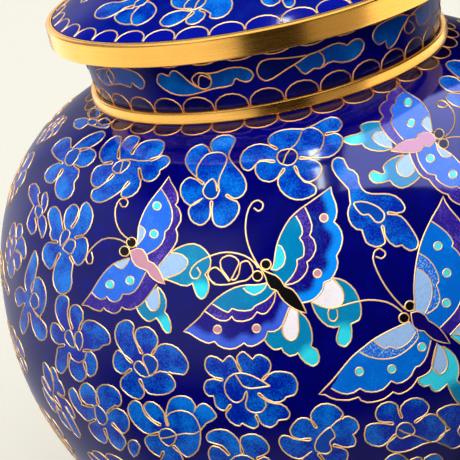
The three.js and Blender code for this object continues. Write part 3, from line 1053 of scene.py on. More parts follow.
TEAL_BUTTERFLY = {
    "heart": (272, 280), "spot_enamel": "rose", "body_enamel": "eye_black",
    "areas": (
        {"enamel": "teal", "layer": 0, "near": ((344, 343),), "span": 20, "edge": (
            ((333, 278), (341, 279.5), (349, 284), (356, 292), (360, 302), (361.5, 312), (359, 320)),
            ((351, 324), (352, 332), (351, 340), (347, 345.5), (343, 346.5), (338, 343.5), (336.5, 338),
             (338.5, 331)),
            ((339.5, 326.5), (333, 327.5), (326, 325), (319, 318), (314, 310), (311.5, 302)),
        ), "rest": ((318, 296), (324, 284))},
        {"enamel": "white", "layer": 1, "edge": (
            ((333, 279), (340, 286), (344, 294), (343, 302), (338, 307), (331, 308.5), (322, 306.5),
             (312, 302)),
        ), "rest": ((305, 299), (318, 290), (325, 281))},
        {"enamel": "teal", "layer": 0, "near": ((316, 362),), "span": 20, "edge": (
            ((264.5, 340), (269, 346), (274, 349.5), (278, 349.5)),
            ((281.5, 348), (284, 352.5), (290, 356), (295, 355)),
            ((298, 353), (301, 358), (306, 363), (313, 366), (318, 363), (319.5, 357), (317, 350)),
            ((311, 346.5), (312.5, 338), (311, 328), (307, 319), (300, 312)),
        ), "rest": ((285, 318), (270, 331))},
        {"enamel": "white", "layer": 1, "edge": (
            ((289, 307.5), (285, 318), (282, 326), (283, 334), (287, 339), (292, 340.5), (297, 337),
             (299, 330), (298.5, 320), (298, 311)),
        ), "rest": ((294, 305),)},
        {"enamel": "midnight", "layer": 2, "margin": 11, "edge": (
            ((271, 270), (274, 264), (275, 255), (277, 245), (281, 234), (289, 220), (299, 210),
             (312, 201)),
            ((331, 187), (332, 194), (336, 204), (337, 212), (336, 218)),
            ((334, 222), (339, 227), (342.5, 235), (342, 244), (340, 250)),
            ((336.5, 256), (338, 262), (337, 269), (333, 277)),
            ((330, 280), (324, 283), (323, 289), (318, 296), (311, 301), (302, 303)),
        ), "rest": ((292, 293), (280, 278))},
        {"enamel": "violet", "layer": 3, "edge": (
            ((305, 207.5), (309, 216), (312, 225), (311.5, 231)),
            ((309.5, 235.5), (314, 240), (316, 248), (314, 255), (310, 260)),
            ((307, 262), (308, 267), (306, 273), (300, 280), (292, 284), (285, 285)),
        ), "rest": (
            (280, 280), (271, 270), (274, 264), (275, 255), (277, 245), (281, 234), (289, 220), (297, 212),
        )},
        {"enamel": "teal_bright", "layer": 4, "edge": (
            ((296, 216), (300, 223), (302.5, 230), (302, 235)),
            ((299.5, 238), (303, 243), (304.5, 251), (303, 257)),
            ((297, 260), (297.5, 265), (295, 272), (290, 279), (285, 284)),
        ), "rest": ((280, 280), (271, 270), (274, 264), (275, 255), (277, 245), (281, 234), (289, 222))},
        {"enamel": "cyan", "layer": 5, "edge": (
            ((278, 245), (282, 247), (285, 254), (285.5, 260), (283, 266), (277, 270), (272, 269.5)),
        ), "rest": ((275, 262), (276, 252))},
        {"enamel": "dusk", "layer": 2, "margin": 10, "edge": (
            ((267, 283), (258, 285), (248, 285), (237, 287), (226, 292), (215, 300), (206, 309), (199, 318),
             (191, 325)),
            ((183.5, 331.5), (190, 333.5), (198, 339), (207, 343), (211, 343)),
            ((214.5, 341.5), (219, 346), (227, 349), (235, 348.5), (240, 346)),
            ((244, 343), (248, 346), (254, 346), (261, 342), (265.5, 338)),
            ((268, 331.5), (275, 331.5), (281, 327), (285, 320), (288, 311), (290, 307)),
        ), "rest": ((282, 299), (270, 287))},
        {"enamel": "violet", "layer": 3, "edge": (
            ((205, 311.5), (211, 315.5), (218, 320), (225, 321), (229, 319.5)),
            ((232, 316.5), (235, 320.5), (242, 321.5), (250, 319.5), (254, 316.5)),
            ((257, 312), (262, 314), (267, 312.5), (272, 306), (275, 299), (275.5, 291)),
        ), "rest": ((270, 287), (267, 283), (258, 285), (248, 285), (237, 287), (226, 292), (215, 300))},
        {"enamel": "teal_bright", "layer": 4, "edge": (
            ((212.5, 304), (219, 308), (225, 311.5), (229, 312)),
            ((232, 308.5), (238, 310.5), (246, 311), (252, 309.5)),
            ((255, 306), (261, 303), (268, 299), (275, 291)),
        ), "rest": ((270, 287), (267, 283), (258, 285), (248, 285), (237, 287), (226, 292), (219, 297))},
        {"enamel": "cyan", "layer": 5, "edge": (
            ((243, 288), (247, 292), (254, 295), (260, 293), (265, 288.5), (267, 284)),
        ), "rest": ((258, 285), (248, 285.5))},
    ),
    "spots": ((324, 218), (317.5, 273.5), (217.5, 329.5), (256.5, 328.5)),
    "eyes": ((266, 264.5), (257.5, 276)),
    "body": (
        ((260, 268), (267, 272.5), (275, 275), (281, 280), (285, 286.5), (293, 290), (299, 298),
         (304, 307)),
        ((306.5, 313), (299, 311), (290, 306), (282, 299), (277, 291), (270, 288), (266.5, 281),
         (265, 275)),
    ),
    "feelers": (
        ((260, 268), (255, 260), (250, 250), (246.5, 238), (245.5, 226), (247, 214), (250, 206),
         (254, 201.5), (259, 200.5), (263, 204), (262, 209), (258, 211), (254, 208)),
        ((258, 268), (253, 261), (244, 255.5), (232, 252.5), (220, 253), (208, 257), (198, 262), (192, 268),
         (190, 274), (193, 278.5), (198, 278), (200.5, 273), (197, 267.5)),
    ),
}

AZURE_BUTTERFLY = {
    "heart": (424, 322), "spot_enamel": "turquoise", "body_enamel": "indigo",
    "areas": (
        {"enamel": "cyan_teal", "layer": 0, "near": ((484, 358),), "span": 22, "edge": (
            ((470, 308), (480, 310), (490, 318), (497, 330), (494, 340)),
            ((488, 342), (492, 352), (488, 360), (480, 360), (476, 352)),
            ((474, 346), (466, 347), (458, 342), (451, 336)),
        ), "rest": ((458, 326),)},
        {"enamel": "pale_blue", "layer": 1, "edge": (
            ((468, 311), (476, 316), (477, 324), (471, 331), (462, 335), (453, 334)),
        ), "rest": ((462, 318),)},
        {"enamel": "cyan_teal", "layer": 0, "near": ((462, 400),), "span": 22, "edge": (
            ((418, 378), (419, 383), (424, 386.5), (428, 385.5)),
            ((430, 385.5), (432, 389.5), (436, 391.5), (441, 390)),
            ((447, 384), (450, 390), (454, 398), (460, 404), (467, 404), (468, 396), (463, 386)),
            ((457, 380), (459, 372), (458, 362), (453, 353), (443, 346)),
        ), "rest": ((435, 354), (425, 374))},
        {"enamel": "pale_blue", "layer": 1, "edge": (
            ((436, 346), (433, 358), (432, 366), (436, 372), (441, 374), (446, 370), (448, 362), (445, 352),
             (441, 346)),
        ), "rest": ((438, 344),)},
        {"enamel": "violet", "layer": 2, "edge": (
            ((414, 311), (414.5, 300), (414, 290), (414.5, 278), (416, 265), (418.5, 252), (422, 240),
             (427, 228), (433, 216), (439, 206)),
            ((443, 196.5), (446, 203), (451, 210), (458, 218), (465, 228), (468, 238)),
            ((467, 243), (474, 252), (477, 264), (475, 275)),
            ((472, 279), (476, 290), (474, 303), (465, 318), (450, 335)),
        ), "rest": ((436, 326), (424, 316))},
        {"enamel": "azure", "layer": 3, "edge": (
            ((431, 221), (440, 227), (448, 234), (453, 242)),
            ((452, 246.5), (458, 252), (463, 261), (464, 270)),
            ((461, 278), (464, 288), (462, 298), (455, 312), (440, 328)),
        ), "rest": (
            (428, 321), (414, 311), (414.5, 300), (414, 290), (414.5, 278), (416, 265), (418.5, 252),
            (422, 240), (427, 228),
        )},
        {"enamel": "speckled", "layer": 4, "edge": (
            ((418.5, 253), (427, 258), (434, 266), (438, 275), (439, 281)),
            ((436.5, 285), (439, 292), (440, 300), (437, 307), (432, 311), (427, 314)),
        ), "rest": ((420, 315), (414, 311), (414.5, 300), (414, 290), (414.5, 278), (416, 265))},
        {"enamel": "pale_blue", "layer": 5, "edge": (
            ((416.5, 269), (424, 272), (430, 280), (432.5, 290), (431, 300), (428, 308), (425, 313.5)),
        ), "rest": ((420, 314), (414, 311), (414.5, 300), (414, 290), (414.5, 280))},
        {"enamel": "indigo", "layer": 2, "edge": (
            ((410, 322), (402, 325), (393, 329), (383, 334), (373, 340), (364, 347), (352, 357), (341, 370),
             (331, 382)),
            ((319, 394), (326, 395), (333, 399), (342, 400), (350, 400)),
            ((358.5, 397), (362, 401), (369, 402.5), (378, 401), (386, 398)),
            ((393, 392), (399, 394), (406, 391.5), (413, 386)),
            ((418, 378), (424, 375.5), (430, 371), (433, 363), (435, 354), (437, 343)),
        ), "rest": ((431, 338), (417, 328))},
        {"enamel": "azure", "layer": 3, "edge": (
            ((331, 388), (337, 391.5), (345, 394), (353, 393)),
            ((360, 388.5), (366, 391.5), (374, 392), (382, 390), (387, 386)),
            ((391, 381), (397, 383.5), (404, 381.5), (411, 376), (414, 370)),
            ((416, 367), (421, 365), (426, 358), (429, 349), (431, 340)),
        ), "rest": (
            (425, 334), (417, 328), (410, 322), (402, 325), (393, 329), (383, 334), (373, 340), (364, 347),
            (352, 357), (341, 370),
        )},
        {"enamel": "speckled", "layer": 4, "edge": (
            ((359.5, 352), (367, 356), (376, 358.5), (386, 359), (396, 357), (406, 351), (414, 344),
             (418.5, 337), (417, 330)),
        ), "rest": ((410, 322), (402, 325), (393, 329), (383, 334), (373, 340), (364, 347))},
        {"enamel": "pale_blue", "layer": 5, "edge": (
            ((373.5, 340.5), (379, 345.5), (385, 348.5)),
            ((389, 346.5), (394, 348), (397, 349), (404, 346), (411, 340), (416, 332)),
        ), "rest": ((413, 327), (410, 322), (402, 325), (393, 329), (383, 334))},
    ),
    "spots": ((438, 246), (447, 273), (446.5, 303), (359.5, 371.5), (392, 369), (422, 347)),
    "eyes": ((410, 306), (404, 318)),
    "body": (
        ((411, 313), (418, 311.5), (425, 315), (429, 321), (436, 325), (442, 331), (447, 338)),
        ((450, 343.5), (443, 342.5), (435, 340), (429, 336), (424, 331), (418, 330), (413, 325)),
    ),
    "feelers": (
        ((405, 309), (398, 302), (391, 294), (384, 284), (378, 273), (374, 263), (373, 257), (375, 251),
         (380, 248.5), (385, 252), (385, 256), (381, 258.5), (375.5, 256.5)),
        ((402, 312), (396, 307), (388, 302.5), (378, 300.5), (368, 300), (358, 301.5), (348, 304),
         (338, 307), (330, 308.5), (328, 314), (330, 320), (335, 321), (338, 316), (337, 309)),
    ),
}

SHOULDER_BUTTERFLY = {
    "heart": (420, 142), "spot_enamel": "turquoise", "body_enamel": "rose",
    "areas": (
        {"enamel": "teal", "layer": 0, "near": ((346, 139),), "span": 18, "edge": (
            ((380, 121.5), (371, 121.8), (363.5, 123.5), (360.3, 126.8)),
            ((362.2, 131.7), (357, 134.3), (349, 135.8), (344.3, 138), (343, 139.3), (346, 143),
             (352, 144.8), (358, 144.6)),
            ((362, 143.6), (366, 148), (374, 150.7), (383, 151.3), (391.5, 149)),
        ), "rest": ((388, 142), (384, 134))},
        {"enamel": "pale_blue", "layer": 1, "edge": (
            ((383, 132), (377, 132), (373, 134), (372.3, 137), (374.5, 141), (379.5, 144.7), (386, 147),
             (392.5, 148.2)),
        ), "rest": ((391, 141), (387, 136))},
        {"enamel": "teal", "layer": 0, "near": ((371, 176),), "span": 16, "edge": (
            ((404, 155), (396, 156.7), (389, 160.5), (384.5, 164.5), (383.2, 168.5)),
            ((385, 173.5), (381, 174), (376, 171.7), (372.5, 171), (369.3, 175), (371, 180), (376, 183.3),
             (383, 182.5)),
            ((390, 180.5), (394, 185), (401, 188), (409, 186), (416, 181), (420, 177)),
        ), "rest": ((415, 169), (411, 160))},
        {"enamel": "pale_blue", "layer": 1, "edge": (
            ((404.5, 155.5), (398.3, 161), (396.4, 166.5), (398, 172.5), (402, 176), (407.5, 176.8),
             (412, 174.3), (415, 170)),
        ), "rest": ((411, 160), (409, 154))},
        {"enamel": "violet", "layer": 2, "edge": (
            ((432.5, 132), (430.7, 120.5), (428.5, 112), (420, 100.5), (405, 91)),
            ((396, 81), (397, 84.5), (395.5, 88), (391, 91), (387.3, 95.5)),
            ((387.2, 100.2), (383, 103), (379.8, 107.5), (380, 112)),
            ((383.5, 116.8), (380, 121), (380.5, 126), (384, 131.5), (390, 139), (396.5, 145)),
        ), "rest": ((406, 142), (420, 138))},
        {"enamel": "cornflower", "layer": 3, "edge": (
            ((403.5, 92.3), (398, 96), (395.5, 99.8)),
            ((396, 103), (392, 106.4), (390.3, 110.8)),
            ((393, 116.3), (391, 120), (391.7, 124.5), (396.5, 132), (403.5, 140)),
        ), "rest": (
            (411, 140), (424, 134), (432.5, 132), (430.7, 120.5), (428.5, 112), (420, 100.5), (411, 95),
        )},
        {"enamel": "pale_blue", "layer": 4, "edge": (
            ((427.5, 116.3), (423, 119), (421.5, 122.3), (423.5, 126.5), (428, 130.3), (432, 132.5)),
        ), "rest": ((431, 126), (430, 119))},
        {"enamel": "violet", "layer": 2, "edge": (
            ((435.5, 142.5), (441, 148), (450, 153), (459, 162), (472, 176), (487, 192)),
            ((500, 203), (492, 206), (484, 208), (476, 207)),
            ((470, 204), (463, 205.5), (455, 202.5), (450, 198.5)),
            ((448, 194.5), (441, 192), (434, 186)),
            ((429, 179.5), (422, 176.5), (416.5, 169.5), (412, 160.5), (409.5, 153)),
        ), "rest": ((420, 148), (430, 143))},
        {"enamel": "cornflower", "layer": 3, "edge": (
            ((489, 194), (481, 196), (472, 195), (465, 191.5)),
            ((457, 186.5), (450, 187.5), (442, 184)),
            ((436.5, 179), (435.3, 175), (428, 173.5), (422, 167), (418, 159), (416.7, 152.5)),
        ), "rest": (
            (422, 147), (430, 144), (435.5, 142.5), (441, 148), (450, 153), (459, 162), (472, 176),
        )},
        {"enamel": "pale_blue", "layer": 4, "edge": (
            ((436.5, 144), (437.5, 149.5), (440.5, 154.5), (444, 157.4), (449.5, 157.3), (452, 155)),
        ), "rest": ((445, 150.5),)},
    ),
    "spots": ((408, 102.5), (411, 123), (430.5, 158.5), (453, 174.5)),
    "eyes": ((439, 134), (443.5, 144)),
    "body": (
        ((436.5, 139), (432.5, 134.3), (428, 132.3), (422, 132.7), (417.7, 135.2)),
        ((416.3, 139), (410.5, 139.5), (404, 141.2), (397.5, 145.2)),
        ((391.3, 151.3), (400, 152.2), (410, 152.8), (418, 152), (422.3, 149.3)),
        ((424, 145.7), (429.5, 146.6), (433.5, 143.5)),
    ),
    "feelers": (
        ((445, 137), (451, 131.5), (454.5, 123.5), (454.8, 116), (452.5, 109.5), (448.5, 105), (445, 101.5),
         (440.5, 100.5), (437.3, 103), (439, 106.7), (444, 107.5), (447.5, 105.5)),
        ((446, 138.5), (452, 137.2), (460, 137), (468, 138), (474, 142), (475, 147), (470, 148.5)),
    ),
}

SEEN_BUTTERFLIES = (CORNFLOWER_BUTTERFLY, TEAL_BUTTERFLY, AZURE_BUTTERFLY, SHOULDER_BUTTERFLY)

# A loose scroll of wire between two butterflies
SEEN_SCROLL = (
    ((229, 281.5), (225, 276), (221, 271), (216, 267.5), (211, 269), (208, 274), (210, 280), (215, 283.5)),
    ((230, 281), (226, 275), (221, 268), (220.5, 261), (224, 257), (230, 255.5), (236, 258), (239, 263),
     (236, 270), (231, 280)),
    ((232, 280), (236, 279), (239, 274), (240, 268), (241, 263), (245, 261), (249, 262), (252, 267),
     (253, 274), (247, 280), (240, 281.5), (231, 284), (221, 285), (213, 283.5), (208, 276)),
)

# Laying out the pattern

JAR = Wall(jar_outline())
NECK = Wall(neck_outline())
DOME = Wall(dome_outline())
SEED = 11
SECTORS = 4
SECTOR_DEGREES = 360 / SECTORS
# The most that a blossom's first colour is lightened by its second
BLOSSOM_SHADE = 0.45
FILL_TRIES = 3000
# The share of its size by which a scattered blossom keeps clear of the photograph's view
FILL_CLEARANCE = 0.7
# Below this cosine a wall is seen too much from the side for its pattern to be read
SIDELONG = 0.32
SIDELONG_HEARTS = ((116, 470), (58, 404))
SIDELONG_SIZE = 13.0
FILL_LOWEST = 21.0
FILL_HIGHEST = 167.0
JAR_FILL_SIZES = (12.5, 11.0, 9.5, 8.2)
DOME_FILL_SIZES = (11.5, 9.5, 8.2)
DOME_FILL_ABOVE_RIM = 6.5
DOME_FILL_BELOW_TOP = 0.5

# Butterflies on the sides that the photograph doesn't show: azimuth and height on the jar, turn
HIDDEN_BUTTERFLIES = (
    (TEAL_BUTTERFLY, 108, 126, 0.5),
    (CORNFLOWER_BUTTERFLY, 150, 110, -0.4),
    (AZURE_BUTTERFLY, 190, 130, 0.7),
    (TEAL_BUTTERFLY, 230, 104, -0.6),
    (CORNFLOWER_BUTTERFLY, 262, 126, 0.3),
    (AZURE_BUTTERFLY, 62, 60, -0.5),
    (TEAL_BUTTERFLY, 166, 56, 0.5),
    (AZURE_BUTTERFLY, 262, 56, -0.3),
    (CORNFLOWER_BUTTERFLY, -30, 40, 0.6),
)
# Cloud scrolls on the hidden part of the neck, by azimuth
HIDDEN_CLOUDS = (88, 124, 160, 196, 232, 268)


def sector(place):
    """The share of the jar that a place belongs to, so that no piece grows too heavy."""
    azimuth = math.degrees(math.atan2(place[0], -place[1]))
    return "jar_%d" % (int((azimuth + (360 + SECTOR_DEGREES / 2)) // SECTOR_DEGREES) % SECTORS)


def in_photo(wall, place, margin):
    """Whether the photograph shows a place on a wall plainly, or misses it by less than a margin."""
    if wall.facing(place).dot((CAMERA_PLACE - place).normalized()) < SIDELONG:
        return False
    x, y = seen_at(place)
    room = margin * PIXELS_PER_MM
    return -room < x < PHOTO_SIDE + room and -room < y < PHOTO_SIDE + room


def blossom(store, board, shape, rng):
    groups = shape["edge"]
    outline = hairpins(groups) if len(groups) > 1 else strokes(groups, True)
    heart_enamel = "eye_deep" if shape.get("deep") else "eye"
    figure(store, board, shape, outline, "blossom", heart_enamel, rng.uniform(0.0, BLOSSOM_SHADE))


def stray_blossom(wall, place, size, rng, store=None):
    """One of the whole blossoms, laid somewhere else, turned at random and brought to a size."""
    shape = SEEN_BLOSSOMS[rng.choice(WHOLE_BLOSSOMS)]
    reach_out = np.hypot(*(strokes(shape["edge"], True) - shape["heart"]).T).max()
    board = Board(wall, place, rng.uniform(0, 2 * math.pi))
    blossom(store or sector(place), Stamp(board, shape["heart"], size / reach_out), shape, rng)


def fill_with_blossoms(wall, rng, levels, sizes, store=None):
    """Scatters blossoms over what is still bare, outside the photograph's view."""
    low, high = (float(np.interp(v, wall.outline[:, 1], wall.run)) for v in levels)
    for size in sizes:
        laid = np.vstack(LAID[wall])
        for _ in range(FILL_TRIES):
            place = wall.at(rng.uniform(-180, 180), rng.uniform(low, high))
            seen = in_photo(wall, place, FILL_CLEARANCE * size)
            if seen or np.linalg.norm(laid - place, axis=1).min() < size:
                continue
            stray_blossom(wall, place, size, rng, store)
            laid = np.vstack(LAID[wall])


JAR_SCALLOPS = 37
JAR_SCALLOP_CUSP = -0.4
JAR_SCALLOP_DROP = -3.4
NECK_SCALLOPS = 34
NECK_SCALLOP_CUSP = 2.7
NECK_SCALLOP_RISE = 4.4
NECK_HANGING_SHIFT = 5
NECK_HANGING_DROP = -2.6
DOME_SCALLOPS = 39
DOME_SCALLOP_CUSP = -4.2
DOME_SCALLOP_RISE = 4.2
CLOUD_HEIGHT = 11.2
# How far each row starts from the ring beside it, or is tucked behind it
UNDER_BEAD_GAP = 0.3
BEHIND_BEAD_TUCK = 0.4
UNDER_RIM_GAP = 0.1
ABOVE_RIM_GAP = 0.4


def lay_borders():
    under_bead = Girdle(JAR, JAR.run[-1] - UNDER_BEAD_GAP)
    scallops("borders", under_bead, JAR_SCALLOPS, JAR_SCALLOP_CUSP, JAR_SCALLOP_DROP, "scallop_plum")
    above_bead = Girdle(NECK, BEAD_HEIGHT - BEHIND_BEAD_TUCK)
    scallops("borders", above_bead, NECK_SCALLOPS, NECK_SCALLOP_CUSP, NECK_SCALLOP_RISE, "scallop_dark")
    under_rim = Girdle(NECK, NECK.run[-1] - (MOUTH_HEIGHT - RIM_BOTTOM) - UNDER_RIM_GAP)
    hanging_cusp = NECK_SCALLOP_CUSP + NECK_HANGING_SHIFT
    scallops("borders", under_rim, NECK_SCALLOPS, hanging_cusp, NECK_HANGING_DROP, "scallop_dark")
    above_rim = Girdle(DOME, ABOVE_RIM_GAP)
    scallops("dome", above_rim, DOME_SCALLOPS, DOME_SCALLOP_CUSP, DOME_SCALLOP_RISE, "scallop_royal")


def lay_jar(rng):
    photo = Sheet(JAR)
    for shape in SEEN_BUTTERFLIES:
        butterfly(sector(photo.press([shape["heart"]])[0][0]), photo, shape)
    for shape in SEEN_BLOSSOMS:
        blossom(sector(photo.press([shape["heart"]])[0][0]), photo, shape, rng)
    for heart in SIDELONG_HEARTS:
        stray_blossom(JAR, Vector(photo.press([heart])[0][0]), SIDELONG_SIZE, rng)
    for line in SEEN_SCROLL:
        wire("jar_0", photo, smooth(line))
    for shape, azimuth, height, turn in HIDDEN_BUTTERFLIES:
        place = JAR.at(azimuth, float(np.interp(height, JAR.outline[:, 1], JAR.run)))
        butterfly(sector(place), Stamp(Board(JAR, place, turn), shape["heart"]), shape)
    fill_with_blossoms(JAR, rng, (FILL_LOWEST, FILL_HIGHEST), JAR_FILL_SIZES)


def lay_neck():
    photo = Sheet(NECK)
    for shape in NECK_CLOUDS:
        figure("borders", photo, shape, strokes(shape["edge"], True), shape["enamel"], "eye_deep")
    shape = NECK_CLOUDS[0]
    outline = strokes(shape["edge"], True)
    for azimuth in HIDDEN_CLOUDS:
        board = Board(NECK, NECK.at(azimuth, CLOUD_HEIGHT))
        figure("borders", Stamp(board, shape["heart"]), shape, outline, shape["enamel"], "eye_deep")


def lay_dome(rng):
    photo = Sheet(DOME)
    for shape in DOME_BLOSSOMS:
        blossom("dome", photo, shape, rng)
    crown = SEEN_BLOSSOMS[WHOLE_BLOSSOMS[1]]
    blossom("dome", Stamp(Board(DOME, DOME.at(0, DOME.run[-1])), crown["heart"]), crown, rng)
    levels = (RIM_TOP + DOME_FILL_ABOVE_RIM, LID_TOP - DOME_FILL_BELOW_TOP)
    fill_with_blossoms(DOME, rng, levels, DOME_FILL_SIZES, "dome")


def lay_pattern():
    rng = random.Random(SEED)
    lay_borders()
    lay_jar(rng)
    lay_neck()
    lay_dome(rng)


# Meshes

WIRE_SMOOTH_DEGREES = 50
JAR_STEPS = 44
JAR_INNER_STEPS = 20
NECK_STEPS = 6
DOME_STEPS = 36
DOME_INNER_STEPS = 16
# What tells the faces of the jar and the lid apart: cosines, and a margin in millimetres
LEVEL_FACE = 0.9
RISING_FACE = 0.2
FLOOR_MARGIN = 1
NECK_MARGIN = 0.1


def new_object(name, mesh):
    obj = bpy.data.objects.new(name, mesh)
    bpy.context.scene.collection.objects.link(obj)
    return obj


def only(obj):
    """Makes an object the one that is selected and active."""
    bpy.ops.object.select_all(action="DESELECT")
    obj.select_set(True)
    bpy.context.view_layer.objects.active = obj


def outward(obj):
    only(obj)
    bpy.ops.object.mode_set(mode="EDIT")
    bpy.ops.mesh.select_all(action="SELECT")
    bpy.ops.mesh.normals_make_consistent(inside=False)
    bpy.ops.object.mode_set(mode="OBJECT")


def turned(name, outline, steps=192, angle=28):
    """A piece spun round the urn's axis from a closed outline, given as (radius, height)."""
    bpy.ops.object.select_all(action="DESELECT")
    bpy.ops.mesh.primitive_circle_add(vertices=len(outline), radius=BELLY_RADIUS * MM)
    obj = bpy.context.active_object
    obj.name = name
    for vertex, (radius, height) in zip(obj.data.vertices, outline):
        vertex.co = (radius * MM, 0.0, height * MM)
    bpy.ops.object.mode_set(mode="EDIT")
    bpy.ops.mesh.select_all(action="SELECT")
    bpy.ops.mesh.spin(steps=steps, angle=2 * math.pi, center=(0, 0, 0), axis=(0, 0, 1))
    bpy.ops.mesh.select_all(action="SELECT")
    bpy.ops.mesh.remove_doubles(threshold=TINY)
    bpy.ops.mesh.delete_loose()
    bpy.ops.mesh.select_all(action="SELECT")
    bpy.ops.mesh.normals_make_consistent(inside=False)
    bpy.ops.object.mode_set(mode="OBJECT")
    bpy.ops.object.shade_smooth_by_angle(angle=math.radians(angle))
    return obj


def wire_piece(store):
    verts, faces = WIRES[store]
    mesh = bpy.data.meshes.new("wires_" + store)
    mesh.from_pydata(verts, [], faces)
    obj = new_object("wires_" + store, mesh)
    outward(obj)
    bpy.ops.object.shade_smooth_by_angle(angle=math.radians(WIRE_SMOOTH_DEGREES))
    # The border wires round the bead, the rim and the neck take a darker copy of the wire: painted shade
    # for the shadow of the rim and the bead.
    mesh.materials.append(MATERIALS["copper_wire" if store == "borders" else "gilt_wire"])
    return obj


def cell_piece(store):
    verts, faces, kinds, fades, facing = CELLS[store]
    mesh = bpy.data.meshes.new("enamel_" + store)
    mesh.from_pydata(verts, [], faces)
    names = sorted(set(kinds))
    for name in names:
        mesh.materials.append(MATERIALS[name])
    mesh.polygons.foreach_set("material_index", [names.index(k) for k in kinds])
    fade = mesh.attributes.new("fade", "FLOAT", "POINT")
    fade.data.foreach_set("value", fades)
    obj = new_object("enamel_" + store, mesh)
    mesh.shade_smooth()
    mesh.normals_split_custom_set_from_vertices(facing)
    return obj


def enamel_jar():
    """The jar itself: ground coat outside, painted lighter on the neck against the rim's shadow, and dark
    counter-enamel inside and underneath.
    """
    outside = jar_outline(JAR_STEPS)
    floor = FOOT_HEIGHT + WALL
    inside = [p for p in set_in(jar_outline(JAR_INNER_STEPS), WALL) if p[1] > floor + WALL / 2]
    outline = [
        (0.0, FOOT_HEIGHT), *outside, *neck_outline(NECK_STEPS), (MOUTH_RADIUS - WALL, MOUTH_HEIGHT),
        (NECK_RADIUS - WALL, SHOULDER_HEIGHT), *inside[::-1], (BASE_RADIUS - WALL / 2, floor), (0.0, floor),
    ]
    obj = turned("enamel_jar", outline)
    for name in ("ground", "ground_neck_painted_light", "counter"):
        obj.data.materials.append(MATERIALS[name])
    for face in obj.data.polygons:
        inner = face.normal.xy.dot(face.center.xy) < 0
        flat = abs(face.normal.z) > LEVEL_FACE and face.center.z < (floor + FLOOR_MARGIN) * MM
        neck = face.center.z > (SHOULDER_HEIGHT - NECK_MARGIN) * MM
        # The neck's faces take a lighter copy of the ground enamel: painted light, standing in for the
        # light that the rim's shadow takes from the neck.
        face.material_index = 2 if inner or flat else 1 if neck else 0
    return obj


def enamel_lid():
    """The lid: a thin dome with a flat seat and a collar that drops into the neck."""
    under = dome_outline(DOME_INNER_STEPS, DOME_WALL)[1:]
    cavity = under[0][0]
    seat = MOUTH_HEIGHT + SEAT_THICKNESS
    collar_inside = COLLAR_RADIUS - COLLAR_WALL
    outline = [
        *under[::-1], (cavity, seat), (collar_inside, seat), (collar_inside, COLLAR_FOOT),
        (COLLAR_RADIUS, COLLAR_FOOT), (COLLAR_RADIUS, MOUTH_HEIGHT), (LID_RADIUS, MOUTH_HEIGHT),
        *dome_outline(DOME_STEPS),
    ]
    obj = turned("enamel_lid", outline)
    for name in ("ground_lid", "counter"):
        obj.data.materials.append(MATERIALS[name])
    for face in obj.data.polygons:
        outside = face.normal.z > RISING_FACE and face.center.z > RIM_TOP * MM
        face.material_index = 0 if outside else 1
    return obj


RIM_ROUNDING = 0.75
RIM_FOOT_ROUNDING = 0.5
RIM_BAND_STEPS = 6
RIM_GROOVE_RADIUS = 60.35
RIM_GROOVE_WIDTH = 0.26
RIM_GROOVE_DEPTH = 0.22
RIM_GROOVE_TAPER = 0.7
# The lip within the groove rises to the dome and is bevelled on both sides
RIM_BEVEL = 0.08
RIM_LIP_RISE = 0.05
RIM_LIP_CREST = 0.12
RIM_LIP_DROP = 0.1
RING_SIDES = 288
RIM_CREASE = 35


def rounded(corner, radius, start, end, steps=6):
    return [reach(corner, start + (end - start) * i / steps, radius) for i in range(steps + 1)]


def brass_rim():
    """The lid's rim: an upright band, rounded above, with a fine groove in its lip and a flange below."""
    outer = RIM_RADIUS - RIM_ROUNDING
    inner = LID_RADIUS + RING_GAP
    low = RIM_BOTTOM + RIM_FOOT_ROUNDING
    band = RIM_TOP - RIM_BOTTOM - RIM_FOOT_ROUNDING - RIM_ROUNDING
    outline = [
        (RIM_FLANGE_RADIUS, RIM_BOTTOM),
        *rounded((RIM_RADIUS - RIM_FOOT_ROUNDING, low), RIM_FOOT_ROUNDING, -90, 0),
        *[(RIM_RADIUS, low + band * i / RIM_BAND_STEPS) for i in range(1, RIM_BAND_STEPS)],
        *rounded((outer, RIM_TOP - RIM_ROUNDING), RIM_ROUNDING, 0, 90),
        (RIM_GROOVE_RADIUS + RIM_GROOVE_WIDTH, RIM_TOP),
        (RIM_GROOVE_RADIUS + RIM_GROOVE_WIDTH * RIM_GROOVE_TAPER, RIM_TOP - RIM_GROOVE_DEPTH),
        (RIM_GROOVE_RADIUS, RIM_TOP - RIM_GROOVE_DEPTH * RIM_GROOVE_TAPER),
        (RIM_GROOVE_RADIUS - RIM_BEVEL, RIM_TOP + RIM_LIP_RISE),
        (inner + RIM_BEVEL, RIM_TOP + RIM_LIP_CREST),
        (inner, RIM_TOP - RIM_LIP_DROP),
        (inner, MOUTH_HEIGHT),
        (RIM_FLANGE_RADIUS, MOUTH_HEIGHT),
    ]
    return turned("brass_rim", outline, RING_SIDES, RIM_CREASE)


BEAD_ROUNDING = 0.8
BEAD_LEAN = 0.12
BEAD_INSET = 0.4
BEAD_LOWER_ARC = (-60, 0)
BEAD_UPPER_ARC = (6, 84)
BEAD_CREASE = 40


